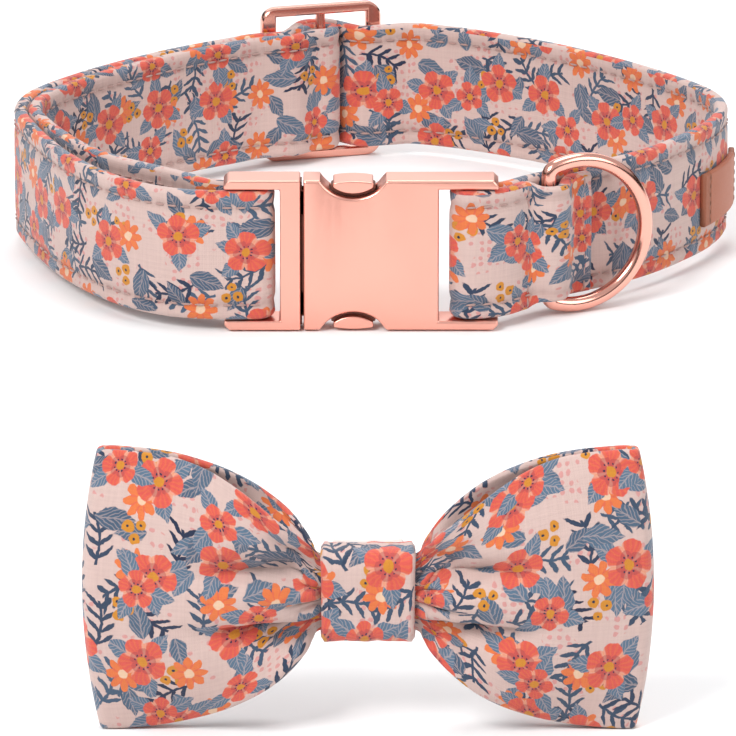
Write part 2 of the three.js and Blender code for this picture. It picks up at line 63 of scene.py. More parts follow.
# Strap and hardware, as in the part's source
GAP = 0.3
SINK = 0.05
STRAP_HEIGHT = 25
STRAP_THICK = 2.4
RING_WIDTH = 137.6
RING_DEPTH = 119
GAPE = 10.5
END_LENGTH = 10
PINCH_HEIGHT = 22.4
BUCKLE_SHIFT = 1.9
BUCKLE_THICK = 6.6
FRAME_WIDTH = 14.3
CROSSBAR_WIDTH = 3.8
SEAM_WIDTH = 0.6
BODY_WIDTH = 25.3
ARM_LENGTH = 11.1
BUCKLE_BAR = 1.9
SLOT_WIDTH = 2.1
WIRE = 2.8
WIRE_SIDES = 28
RING_HEIGHT = 31
RING_REACH = 22.8
RING_CORNER = 2
RING_PLACE = 15.5
RING_ANGLE = 16
RING_LIFT = 0.85
RING_BEND_STEPS = 12
RING_BOW_STEPS = 90
SLIDER_HEIGHT = 31.8
SLIDER_WIDTH = 24.6
SLIDER_THICK = 2
RAIL_WIDTH = 3
SLIDER_BAR = 2
SLIDER_LIFT = 1.1
SLIDER_SLANT = 15
PLATE_THICK = 1.5
POCKET_HEIGHT = 25.2
LIP_REACH = 1.2
BUCKLE_HEIGHT = 29.2
NOTCH_WIDTH = 12.5
NOTCH_DEPTH = 3.5
NOTCH_PLACE = 9.3
BUTTON_GAP = 0.9
BUTTON_DROP = 0.5
BUTTON_RIM = 0.9
BUTTON_CROWN = 0.35
BUTTON_EDGE = 0.3
PRONG_HEIGHT = 5
ARM_CHAMFER = 0.9
METAL_EDGE = 0.35
LIP_EDGE = 0.1
RIM_EDGE = 0.05
BODY_EDGE = 0.16
SLIDER_EDGE = 0.14
CAST = (0.26, 0.012)  # roughness, and depth of the grain
# The buckle's inner pieces: their roughness and grain, and below it their colour, which is painted
# shade: the plating darkened for the shade in the recess
RECESS_SURFACE = (0.5, 0.012)
POLISHED = (0.12, 0.004)
RECESS_PAINTED_SHADE = 0.22  # the metal inside the buckle against its polished faces
LABEL_HEIGHT = 10.5
LABEL_LENGTH = 19
LABEL_THICK = 1.2
LABEL_PLACE = 58
LABEL_DROP = 1.5
LABEL_SEAM = 1.9  # from the label's ends to its stitches

# Bow tie
BOW_WIDTH = 92.4
BOW_HEIGHT = 47.6
BOW_CLOTH = 1.4
BOW_DEPTH = 14
BOW_CURVE = 2.7
KNOT_WIDTH = 15.2
KNOT_HEIGHT = 15.6
KNOT_DROP = 0.7
KNOT_CLOTH = 1.4
KNOT_CORNER = 2.2
KNOT_CREASE = 0.16
PINCH_DEPTH = 4
RIDGE_HEIGHT = 8.4
VALLEY_DEPTH = 3.6
VALLEY_WIDTH = 2.1
VALLEY_STEEP = 0.45
VALLEY_BROAD = 1.9
VALLEY_MORE = 1.6  # the cloth's valleys against the plain ones of the source
LOOP_HEIGHT = 11
LOOP_DEPTH = 4.4
LOOP_DROP = 1
LOOP_WIDTH = 12
LOOP_THICK = 1.2
LOOP_CORNER = 2.4
LOOP_CREASE = 0.12
GATHER_DEPTH = 0.7
GATHER_REACH = 11  # millimetres from the knot over which the gathers fade
GATHER_INSET = (0.9, 2.4)  # they start where the layers are this far from the middle
GATHER_START = (-1, 3)  # millimetres from the knot over which they rise
FAN_FOCUS = 0.35  # where the gathers would meet, as a share of the knot's half width
FAN_WAVES = 15  # radians of wave for each radian of the fan
FAN_RIPPLES = 27
FAN_RIGHT, FAN_LEFT = 1.1, 0.2  # where the wave starts on each side
FAN_DEPTH = 1.4  # the fan's gathers against the broad swell of the wings
SWELL_WAVE, SWELL_LEAN = 0.16, 0.1  # radians of swell for each millimetre out and up
SWELL_RISE, SWELL_FALL = (10, 25), (39, 30)  # millimetres from the knot
WING_FINE = 5  # points for each of the table's sections
WING_ROWS = 56
HEM_ROWS = 3
WING_EDGE = 0.06  # how much closer the rows stand at the wings' edges
HEM = 0.38  # the cloth's thickness at its very edge
BAND_ROWS = 30
BEND_STEPS = 8
RIM_START = 0.93  # share of the way out where a band's edge starts to round
ROLL = 0.14  # height of its rolled edge
ROLL_PLACE, ROLL_WIDE = 0.9, 0.09  # shares of the way out
BAND_WAIST = 0.012  # how much its width swings on the way round
CREASES = ((9, 5, 0.5), (17, -9, 0.25))  # radians across and round, and height

# Cloth and thread
SEAM_INSET = 3.0  # from the strap's edges to its stitches
SEAM_SOFT = 0.9  # how far a seam pulls the padding down on each side
STRAP_EDGE = 0.9  # radius of the strap's padded edges
STITCH_PITCH = 2.6
STITCH_LENGTH = 1.9
STITCH_SIDES, STITCH_RINGS = 8, 5
THREAD = 0.42
STITCH_LIFT = 0.02  # how far a stitch's middle lies outside the unpadded face
END_ROW_INSET = 1.6  # from the sewn end's edges to the rows across it
END_SEAMS = (9.2, RING_PLACE + END_LENGTH - END_ROW_INSET)  # along the strap
FREE_HEIGHT = 0.3  # the strap carries no long rows where it is pinched by more than this
ROW_POINTS = 17  # on the line under a row across the strap
LABEL_STITCH = 0.6  # the label's stitches against the strap's
THREAD_TWIST = 0.35
PUFF = 0.3
CROWN = 0.6  # how high the strap's face swells against how deep its seams lie
YARN = 0.42  # from one yarn of the cotton to the next
TAPE_YARN = 0.3
TAPE_RIB = 1.1

# Colours, linear
PRINT_COLOURS = {
    "Ground": (0.53, 0.385, 0.35), "Blossom": (0.56, 0.08, 0.06), "Daisy": (0.62, 0.15, 0.045),
    "Gold": (0.5, 0.2, 0.02), "Leaf": (0.08, 0.135, 0.2), "Sprig": (0.012, 0.02, 0.05),
    "Dots": (0.52, 0.2, 0.19), "Cream": (0.66, 0.44, 0.3),
}
PLATING = (0.9, 0.45, 0.36)
LEATHER = (0.5, 0.165, 0.09)
WORN_LEATHER = (0.16, 0.05, 0.025)
# painted shade for the label's pressed line and for its ends beyond it
LABEL_PAINTED_SHADE = (0.2, 0.06, 0.02)
# the sewing thread's colour, darkened with painted shade for the groove it lies in
THREAD_WITH_GROOVE_SHADE = (0.42, 0.26, 0.23)
WAXED_THREAD = (0.2, 0.075, 0.04)
ELASTIC = (0.86, 0.78, 0.74)
# painted shade along the strap's seams
SEAM_PAINTED_SHADE = (0.5, 0.36, 0.33)
PAPER = (0.9, 0.9, 0.9)

HALF = STRAP_THICK / 2
SEAM_UP = STRAP_HEIGHT / 2 - SEAM_INSET

# Camera: where the photograph was taken from, before the part's shift
LENS_PIXELS = 8000
SENSOR = 36
CLIP = (0.05, 60)
FRAME_PIXELS = 736
CAMERA_PITCH = 18
CAMERA_PLACE = (-0.6, -1427.4, 456.6)

# Stage, in metres
FLOOR_REACH = 14
LIGHTS = (  # name, place, aim, width and power
    ("key", (-0.75, -0.95, 1.15), (0, 0, 0.02), 0.7, 20),
    ("fill", (1.1, -0.6, 0.8), (0, 0, 0.02), 1.0, 6),
    ("top", (0.1, 0.45, 1.3), (0, 0, 0), 0.8, 7),
    ("back", (0, 1.5, 0.5), (0, 0, 0.03), 1.4, 4),
)
STUDIO = (  # share of the way up and level: a pale floor, a dim room and a bright ceiling
    (0.0, 0.95), (0.012, 0.95), (0.02, 0.05), (0.22, 0.06), (0.28, 0.95), (1.0, 1.0),
)
STUDIO_TINT = (0.97, 0.98, 1)
STUDIO_POWER = 0.66


# The strap's way round the neck

BUCKLE_WIDTH = FRAME_WIDTH + SEAM_WIDTH + BODY_WIDTH + ARM_LENGTH
BUCKLE_LEFT = -BUCKLE_WIDTH / 2 - BUCKLE_SHIFT
FRAME_RIGHT = BUCKLE_LEFT + FRAME_WIDTH
BODY_LEFT = FRAME_RIGHT + SEAM_WIDTH
BODY_RIGHT = BODY_LEFT + BODY_WIDTH
BAR_Y = BUCKLE_THICK / 2
WRAP = BUCKLE_BAR / 2 + GAP + HALF
BAR_RIGHT = BODY_RIGHT + SLOT_WIDTH + WRAP + HALF
BAR_LEFT = FRAME_RIGHT - CROSSBAR_WIDTH - SLOT_WIDTH / 2 - WRAP - HALF
HIGH = BUCKLE_HEIGHT / 2
ARM_INSIDE = STRAP_HEIGHT / 2 + GAP
NOTCH_X = BODY_LEFT + NOTCH_PLACE
NOTCH_RADIUS = (NOTCH_WIDTH**2 / 4 + NOTCH_DEPTH**2) / (2 * NOTCH_DEPTH)
NOTCH_Z = HIGH - NOTCH_DEPTH + NOTCH_RADIUS
HALF_RING = (RING_WIDTH - STRAP_THICK) / 2
BACK_Y = RING_DEPTH - HALF
SLANT = math.radians(SLIDER_SLANT)
SLIDER_X = -0.14 * HALF_RING
SLIDER_Y = 0.958 * BACK_Y
STRAIGHT = SLIDER_WIDTH / 2 + STRAP_THICK
LINE_SAMPLES = 1500
STATION = 0.8  # from one station of the strap to the next
TURN_STEPS = 16  # stations round a bar
AHEAD = 0.3  # half the length over which the strap's direction is read

# Rows of the strap's middle line: the share of the way from a bar to the side, and of the depth
RIGHT_WAY = (
    (0.115, 0.052), (0.22, 0.09), (0.38, 0.142), (0.548, 0.188), (0.684, 0.24), (0.815, 0.31),
    (0.943, 0.4), (1, 0.49), (0.97, 0.575), (0.77, 0.7), (0.43, 0.845), (0.18, 0.92),
    (-0.04, 0.971), (-0.22, 0.996),
)
LEFT_WAY = (
    (0.13, 0.903), (0.41, 0.825), (0.76, 0.69), (0.965, 0.57), (1, 0.484), (0.949, 0.392),
    (0.862, 0.292), (0.775, 0.212), (0.644, 0.126), (0.482, 0.055), (0.32, 0.018), (0.17, 0.007),
)

# The strap's far end behind the slider's bar, in radii of its turn round the bar
TAIL = ((0, 1), (-0.45, 0.97), (-0.85, 0.82), (-1.44, 0.28), (-1.84, -0.52))

# The part's shift from the source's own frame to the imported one
SHIFT = Vector((
    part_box("buckle_body")[0].x / MM - BODY_LEFT,
    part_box("buckle_body")[0].y / MM,
    (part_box("strap")[0].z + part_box("strap")[1].z) / 2 / MM,
))


def smooth(start, end, at):
    """A soft step from 0 at start to 1 at end."""
    t = min(max((at - start) / (end - start), 0), 1)
    return (1 - math.cos(math.pi * t)) / 2


def between(rows, at):
    """A smooth value between the rows of a table of (place, value)."""
    if at <= rows[0][0]:
        return rows[0][1]
    if at >= rows[-1][0]:
        return rows[-1][1]
    i = next(k for k in range(len(rows) - 1) if at <= rows[k + 1][0])

    def slope(k):
        a, b = rows[max(k - 1, 0)], rows[min(k + 1, len(rows) - 1)]
        return (b[1] - a[1]) / (b[0] - a[0])

    length = rows[i + 1][0] - rows[i][0]
    t = (at - rows[i][0]) / length
    start = rows[i][1] * (1 + 2 * t) * (1 - t) ** 2 + slope(i) * length * t * (1 - t) ** 2
    return start + rows[i + 1][1] * t * t * (3 - 2 * t) - slope(i + 1) * length * t * t * (1 - t)


def bend(p0, p1, p2, p3, share):
    """A point between p1 and p2 on a centripetal Catmull-Rom curve."""
    d0, d1, d2 = (max(np.linalg.norm(b - a), NEAR) ** 0.5
                  for a, b in ((p0, p1), (p1, p2), (p2, p3)))
    t1 = ((p1 - p0) / d0 - (p2 - p0) / (d0 + d1) + (p2 - p1) / d1) * d1
    t2 = ((p2 - p1) / d1 - (p3 - p1) / (d1 + d2) + (p3 - p2) / d2) * d1
    cubic = (2 * p1 - 2 * p2 + t1 + t2) * share**3
    return cubic + (-3 * p1 + 3 * p2 - 2 * t1 - t2) * share**2 + t1 * share + p1


def smooth_line(points):
    """Samples a smooth curve through the points."""
    pts = [np.array(p, float) for p in points]
    pts = [2 * pts[0] - pts[1], *pts, 2 * pts[-1] - pts[-2]]
    spans = len(pts) - 3
    made = []
    for n in range(LINE_SAMPLES + 1):
        i = min(spans * n // LINE_SAMPLES, spans - 1)
        made.append(bend(*pts[i:i + 4], spans * n / LINE_SAMPLES - i))
    return np.array(made)


def along_slider(far):
    """A point of the strap's middle line where it runs straight through the slider."""
    return (SLIDER_X - far * math.cos(SLANT), SLIDER_Y - far * math.sin(SLANT))


class Spine:
    """The strap's middle line, seen from above, from the right bar round to the left bar."""

    def __init__(self):
        right = [(BAR_RIGHT + a * (HALF_RING - BAR_RIGHT), b * BACK_Y) for a, b in RIGHT_WAY]
        left = [(BAR_LEFT - a * (HALF_RING + BAR_LEFT), b * BACK_Y) for a, b in LEFT_WAY]
        first = smooth_line([
            (BAR_RIGHT, BAR_Y + WRAP), *right,
            along_slider(-STRAIGHT), along_slider(-STRAIGHT / 2), along_slider(0),
        ])
        second = smooth_line([
            along_slider(0), along_slider(STRAIGHT / 2), along_slider(STRAIGHT),
            *left, (BAR_LEFT, BAR_Y - WRAP),
        ])
        steps = np.linalg.norm(np.diff(first, axis=0), axis=1)
        self.slider = float(steps.sum())
        self.points = np.vstack([first, second[1:]])
        steps = np.linalg.norm(np.diff(self.points, axis=0), axis=1)
        self.far = np.concatenate([[0], np.cumsum(steps)])
        self.length = float(self.far[-1])

    def at(self, along):
        along = min(max(along, 0), self.length)
        return np.array([np.interp(along, self.far, self.points[:, k]) for k in (0, 1)])

    def ahead(self, along):
        step = self.at(along + AHEAD) - self.at(along - AHEAD)
        return step / np.linalg.norm(step)

    def beside(self, along, out):
        a = self.ahead(along)
        return self.at(along) + np.array([a[1], -a[0]]) * out


SPINE = Spine()
SEWN = STRAP_THICK - SINK
RING_OUT = HALF + GAP + WIRE / 2
OVER_RING = RING_OUT + WIRE / 2 + GAP + HALF
TUNNEL = 6
TUNNEL_START = 1.5  # how much longer the sewn end takes to close beside the buckle bar
TUNNEL_SIDE = 0.4  # how much of its height the pinched strap regains past the tunnel
SLIDER_OUT = HALF + GAP + SLIDER_THICK / 2
SLIDER_WRAP = SLIDER_BAR / 2 + GAP + HALF
OVER_SLIDER = SLIDER_OUT + SLIDER_WRAP + HALF + GAP + HALF
SLIDER_INSIDE = SLIDER_WIDTH / 2 - RAIL_WIDTH
NESTED = -(STRAP_THICK + GAP)
LEFT_LENGTH = SPINE.length - SPINE.slider
GAPE_ROWS = (
    (0.52, NESTED), (0.7, NESTED - (GAPE + NESTED) * 0.35), (0.86, -GAPE), (1, -2 * WRAP),
)


# How far each layer lies outside the middle line, and how high the sewn end is, at a length
# along that line
def main_out(along):
    return OVER_SLIDER * smooth(SLIDER_INSIDE - GAP, HALF, abs(along - SPINE.slider))


def end_out(along):
    sewn = SEWN + (2 * WRAP - SEWN) * smooth(TUNNEL * TUNNEL_START, 0, along)
    return sewn + (OVER_RING - SEWN) * smooth(TUNNEL, 0, abs(along - RING_PLACE))


def end_height(along):
    free = smooth(STRAP_THICK, TUNNEL, abs(along - RING_PLACE))
    wide = free if along < RING_PLACE else free * TUNNEL_SIDE
    return PINCH_HEIGHT + (STRAP_HEIGHT - PINCH_HEIGHT) * wide


def inner_out(along):
    rise = -NESTED * smooth(SLIDER_INSIDE - GAP - HALF, HALF, along - SPINE.slider)
    return between(GAPE_ROWS, (along - SPINE.slider) / LEFT_LENGTH) + rise


def layer(start, end, out, height=lambda along: STRAP_HEIGHT, step=STATION):
    """Stations (x, y, height) along one of the strap's layers."""
    steps = math.ceil(abs(end - start) / step)
    made = []
    for i in range(steps + 1):
        along = start + (end - start) * i / steps
        made.append((*SPINE.beside(along, out(along)), height(along)))
    return made


def turn(x, y, start, end, radius):
    """Stations round a bar, from one angle to another in degrees."""
    angles = [math.radians(start + (end - start) * i / TURN_STEPS) for i in range(1, TURN_STEPS)]
    return [(x + radius * math.cos(a), y + radius * math.sin(a), STRAP_HEIGHT) for a in angles]


def strap_path():
    """Every station of the strap, and which of them are free enough to carry stitches."""
    bar = SPINE.beside(SPINE.slider, SLIDER_OUT)
    tail = [
        (bar[0] + SLIDER_WRAP * (x * math.cos(SLANT) - y * math.sin(SLANT)),
         bar[1] + SLIDER_WRAP * (x * math.sin(SLANT) + y * math.cos(SLANT)), STRAP_HEIGHT)
        for x, y in TAIL
    ]
    runs = [
        (layer(RING_PLACE + END_LENGTH, 0, end_out, end_height), True),
        (turn(BAR_RIGHT, BAR_Y, 270, 90, WRAP), False),
        (layer(0, SPINE.length, main_out), True),
        (turn(BAR_LEFT, BAR_Y, -90, 90, WRAP), False),
        (layer(SPINE.length, SPINE.slider, inner_out), True),
        (turn(*bar, SLIDER_SLANT - 90, SLIDER_SLANT + 90, SLIDER_WRAP), False),
        (tail, False),
    ]
    return [(p, sewn) for run, sewn in runs for p in run]


# Meshes

FACE_ROWS = 20  # quads over a face of the strap
CORNER_STEPS = 5  # quads round one of its edges
ROUND_SIDES = 24  # sides of a round bar
LENS_STEPS = 28
CROWN_STEPS = 12
BEVEL_STEPS = 3
MERGE = 2e-6  # metres
FLAT_TURN = math.radians(0.5)  # faces that turn less than this are one flat
COPY_TURN = math.radians(28)  # edges sharper than this are bevelled on a copied piece
PRISM_TURN = math.radians(25)  # and on a drawn one


def place(points):
    """From the source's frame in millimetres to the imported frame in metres."""
    return [(Vector(p) + SHIFT) * MM for p in points]


def rework(mesh, change):
    """Changes a mesh through a bmesh."""
    work = bmesh.new()
    work.from_mesh(mesh)
    change(work)
    work.to_mesh(mesh)
    work.free()


def link(name, data):
    """An object for a mesh, lamp or camera, in the scene."""
    made = bpy.data.objects.new(name, data)
    bpy.context.scene.collection.objects.link(made)
    return made


def make_object(name, points, faces, uvs=None):
    """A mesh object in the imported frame, with outward normals and its cloth map in millimetres."""
    mesh = bpy.data.meshes.new(name)
    mesh.from_pydata(place(points), [], faces)
    if uvs is not None:
        flat = np.array([uv for face in uvs for uv in face], np.float32).ravel()
        mesh.uv_layers.new(name="cloth").data.foreach_set("uv", flat)

    def face_out(work):
        if work.calc_volume(signed=True) < 0:
            bmesh.ops.reverse_faces(work, faces=work.faces)

    rework(mesh, face_out)
    mesh.polygons.foreach_set("use_smooth", [True] * len(mesh.polygons))
    return link(name, mesh)


def skin(name, rings, closed, lengths, rounds):
    """Skins rings of points. lengths and rounds give the cloth map along and round the rings."""
    size = len(rings[0])
    points = [p for ring in rings for p in ring]
    faces, uvs = [], []
    count = len(rings)
    for i in range(count if closed else count - 1):
        here, there = i * size, ((i + 1) % count) * size
        for j in range(size):
            k = (j + 1) % size
            faces.append((here + j, here + k, there + k, there + j))
            u0, u1 = lengths[i], lengths[i + 1]
            v0, v1 = rounds[j], rounds[j + 1]
            uvs.append(((u0, v0), (u0, v1), (u1, v1), (u1, v0)))
    if not closed:
        last = (count - 1) * size
        for base, order, u in ((0, range(size - 1, -1, -1), lengths[0]),
                               (last, range(size), lengths[-1])):
            faces.append(tuple(base + j for j in order))
            uvs.append(tuple((u, rounds[j]) for j in order))
    return make_object(name, points, faces, uvs)


def lengths_of(points, closed=False):
    """Running length along a row of points, with the way back to the first if it is closed."""
    row = list(points) + ([points[0]] if closed else [])
    run = [0.0]
    for a, b in zip(row, row[1:]):
        run.append(run[-1] + (Vector(b) - Vector(a)).length)
    return run


def band_section(height, thick, edge, seams, puff):
    """The section of a sewn band as (side, up) points, with round edges and sunk seams."""
    wide, high = thick / 2, height / 2
    face = []
    for i in range(FACE_ROWS + 1):
        up = (high - edge) * (1 - 2 * i / FACE_ROWS)
        dip = sum(math.exp(-(((abs(up) - seam) / SEAM_SOFT) ** 2)) for seam in seams)
        crown = (1 - (up / high) ** 2) * 0.5 + 0.5
        face.append((wide + puff * (CROWN * crown - dip), up))
    corner = [
        (wide - edge * (1 - math.cos(a)), high - edge * (1 - math.sin(a)))
        for a in (TAU / 4 * k / CORNER_STEPS for k in range(1, CORNER_STEPS))
    ]
    top = [*((-s, u) for s, u in corner), *reversed(corner)]
    back = [(-s, u) for s, u in reversed(face)]
    bottom = [(-s, -u) for s, u in top]
    return [*top, *face, *bottom, *back]


def outward(stations, i):
    """The outward direction at one station."""
    before, after = stations[max(i - 1, 0)], stations[min(i + 1, len(stations) - 1)]
    ahead = Vector((after[0] - before[0], after[1] - before[1], 0)).normalized()
    return Vector((ahead.y, -ahead.x, 0))


def sweep(name, stations, thick, edge, seams=(), puff=0.0):
    """A band standing on edge that follows its stations (x, y, height)."""
    rings = []
    for i, (x, y, height) in enumerate(stations):
        out = outward(stations, i)
        rings.append([
            Vector((x, y, 0)) + out * side + Vector((0, 0, up))
            for side, up in band_section(height, thick, edge, seams, puff)
        ])
    lengths = lengths_of([(x, y, 0) for x, y, _ in stations])
    ring = band_section(STRAP_HEIGHT if seams else stations[0][2], thick, edge, seams, puff)
    rounds = lengths_of([(0, s, u) for s, u in ring], closed=True)
    return skin(name, rings, False, lengths, rounds)


def copy_of_node(node, name, bevel):
    """A piece made from a CAD node, with its flats joined and its edges softened."""
    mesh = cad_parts[node].data.copy()
    mesh.name = name

    def merge(work):
        bmesh.ops.remove_doubles(work, verts=work.verts, dist=MERGE)
        bmesh.ops.dissolve_limit(
            work, angle_limit=FLAT_TURN, verts=work.verts, edges=work.edges, delimit=set())

    rework(mesh, merge)
    made = link(name, mesh)
    soft = made.modifiers.new("edges", "BEVEL")
    soft.width = bevel * MM
    soft.segments = BEVEL_STEPS
    soft.limit_method = "ANGLE"
    soft.angle_limit = COPY_TURN
    soft.use_clamp_overlap = True
    soft.harden_normals = True
    mesh.polygons.foreach_set("use_smooth", [True] * len(mesh.polygons))
    return made


def prism(name, outline, front, back, bevel):
    """A plate whose outline is drawn in X and Z, with rounded edges."""
    count = len(outline)
    points = [(x, front, z) for x, z in outline] + [(x, back, z) for x, z in outline]
    faces = [tuple(range(count)), tuple(range(2 * count - 1, count - 1, -1))]
    faces += [(k, k + count, (k + 1) % count + count, (k + 1) % count) for k in range(count)]
    made = make_object(name, points, faces)

    def round_edges(work):
        bmesh.ops.recalc_face_normals(work, faces=work.faces)
        sharp = [e for e in work.edges if e.calc_face_angle(0) > PRISM_TURN]
        bmesh.ops.bevel(work, geom=sharp, offset=bevel * MM, segments=BEVEL_STEPS,
                        profile=0.5, affect="EDGES", clamp_overlap=True)

    rework(made.data, round_edges)
    return made


def rod(name, x, y, diameter, height):
    """A round bar that stands along Z."""
    turns = [TAU * k / ROUND_SIDES for k in range(ROUND_SIDES)]
    radius = diameter / 2
    rings = [
        [Vector((x + radius * math.cos(a), y + radius * math.sin(a), z)) for a in turns]
        for z in (-height / 2, 0, height / 2)
    ]
    rounds = [radius * a for a in (*turns, TAU)]
    return skin(name, rings, False, [0, height / 2, height], rounds)


def joined(name, pieces):
    """Several closed shells as one piece."""
    work = bmesh.new()
    for piece in pieces:
        work.from_mesh(piece.data)
        bpy.data.objects.remove(piece)
    mesh = bpy.data.meshes.new(name)
    work.to_mesh(mesh)
    work.free()
    made = link(name, mesh)
    flat = made.modifiers.new("flats", "WEIGHTED_NORMAL")
    flat.keep_sharp = True
    return made


def button_outline():
    """A release button: a lens between its notch's round bottom and a slightly crowned top."""
    radius = NOTCH_RADIUS - BUTTON_GAP
    level = HIGH - BUTTON_DROP
    angle = math.asin((NOTCH_Z - level + BUTTON_RIM) / radius)
    across = radius * math.cos(angle)
    row = []
    for k in range(LENS_STEPS + 1):
        a = math.pi + angle + (math.pi - 2 * angle) * k / LENS_STEPS
        row.append((NOTCH_X + radius * math.cos(a), NOTCH_Z + radius * math.sin(a)))
    for k in range(CROWN_STEPS + 1):
        share = 1 - 2 * k / CROWN_STEPS
        row.append((NOTCH_X + across * share, level + BUTTON_CROWN * (1 - share**2)))
    return row


def buckle_frame_piece():
    """The buckle's left half: its open frame, strap bar, prongs and two release buttons."""
    inside = FRAME_RIGHT - CROSSBAR_WIDTH
    upper = [(BUCKLE_LEFT + ARM_CHAMFER, HIGH), (BUCKLE_LEFT, HIGH - ARM_CHAMFER),
             (BUCKLE_LEFT, ARM_INSIDE)]
    lower = [(x, -z) for x, z in reversed(upper)]
    outline = [(FRAME_RIGHT, HIGH), *upper, (inside, ARM_INSIDE), (inside, -ARM_INSIDE), *lower,
               (FRAME_RIGHT, -HIGH)]
    pieces = [prism("plate", outline, 0, BUCKLE_THICK, METAL_EDGE),
              rod("bar", BAR_LEFT, BAR_Y, BUCKLE_BAR, 2 * ARM_INSIDE + METAL_EDGE)]
    play = PLATE_THICK + GAP
    root = FRAME_RIGHT - CROSSBAR_WIDTH / 2
    top = POCKET_HEIGHT / 2 - GAP
    lip = [(root, top), (root, -top), (BODY_LEFT + LIP_REACH, -top), (BODY_LEFT + LIP_REACH, top)]
    seam = FRAME_RIGHT + SEAM_WIDTH / 2
    rim = [(root, HIGH - SEAM_WIDTH), (root, SEAM_WIDTH - HIGH), (seam, SEAM_WIDTH - HIGH),
           (seam, HIGH - SEAM_WIDTH)]
    inner = [prism("lip", lip, play, BUCKLE_THICK - play, LIP_EDGE),
             prism("rim", rim, play, BUCKLE_THICK - play, RIM_EDGE)]
    reach, head = NOTCH_X + NOTCH_WIDTH / 2, NOTCH_WIDTH / 3
    rise = HIGH - NOTCH_DEPTH / 3
    blade = [(root, top - PRONG_HEIGHT), (reach, top - PRONG_HEIGHT),
             (reach, top - PRONG_HEIGHT / 3), (NOTCH_X + head, top), (NOTCH_X + head, rise),
             (NOTCH_X - head, rise), (NOTCH_X - head, top), (root, top)]
    for side in (1, -1):
        for row, name, shape, deep in ((inner, "blade", blade, play),
                                       (pieces, "button", button_outline(), GAP)):
            flipped = [(x, side * z) for x, z in shape]
            row.append(prism(name, flipped, deep, BUCKLE_THICK - deep, BUTTON_EDGE))
    # The inner pieces take the second material: the plating darkened as painted shade for the recess
    # they sit in
    for piece in inner:
        piece.data.polygons.foreach_set("material_index", [1] * len(piece.data.polygons))
    return joined("buckle_frame_cast", pieces + inner)


def finish_piece(piece, body, slot, materials, *nodes):
    """Gives a piece its materials and its body, and hides the CAD nodes that it stands for. slot is
    not used.
    """
    if piece.data.materials:
        piece.data.materials.clear()
    for material in materials:
        piece.data.materials.append(material)
    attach(piece, body)
    if nodes:
        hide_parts(*nodes)
    return piece


# Shader wiring

FLOAT, COLOUR, VECTOR = "NodeSocketFloat", "NodeSocketColor", "NodeSocketVector"
SOFT = 0.12  # millimetres over which the print's edges fade
FINE = 0.1  # and over which its smallest marks do


class Wire:
    """A number or colour in a node tree, so that shapes can be written as sums and products."""

    def __init__(self, graph, socket):
        self.graph, self.socket = graph, socket

    def __add__(self, other):
        return self.graph.math("ADD", self, other)

    def __sub__(self, other):
        return self.graph.math("SUBTRACT", self, other)

    def __rsub__(self, other):
        return self.graph.math("SUBTRACT", other, self)

    def __mul__(self, other):
        return self.graph.math("MULTIPLY", self, other)

    def __truediv__(self, other):
        return self.graph.math("DIVIDE", self, other)

    def __pow__(self, other):
        return self.graph.math("POWER", self, other)

    def __neg__(self):
        return self.graph.math("MULTIPLY", self, -1.0)

    def __abs__(self):
        return self.graph.math("ABSOLUTE", self)

    __radd__ = __add__
    __rmul__ = __mul__


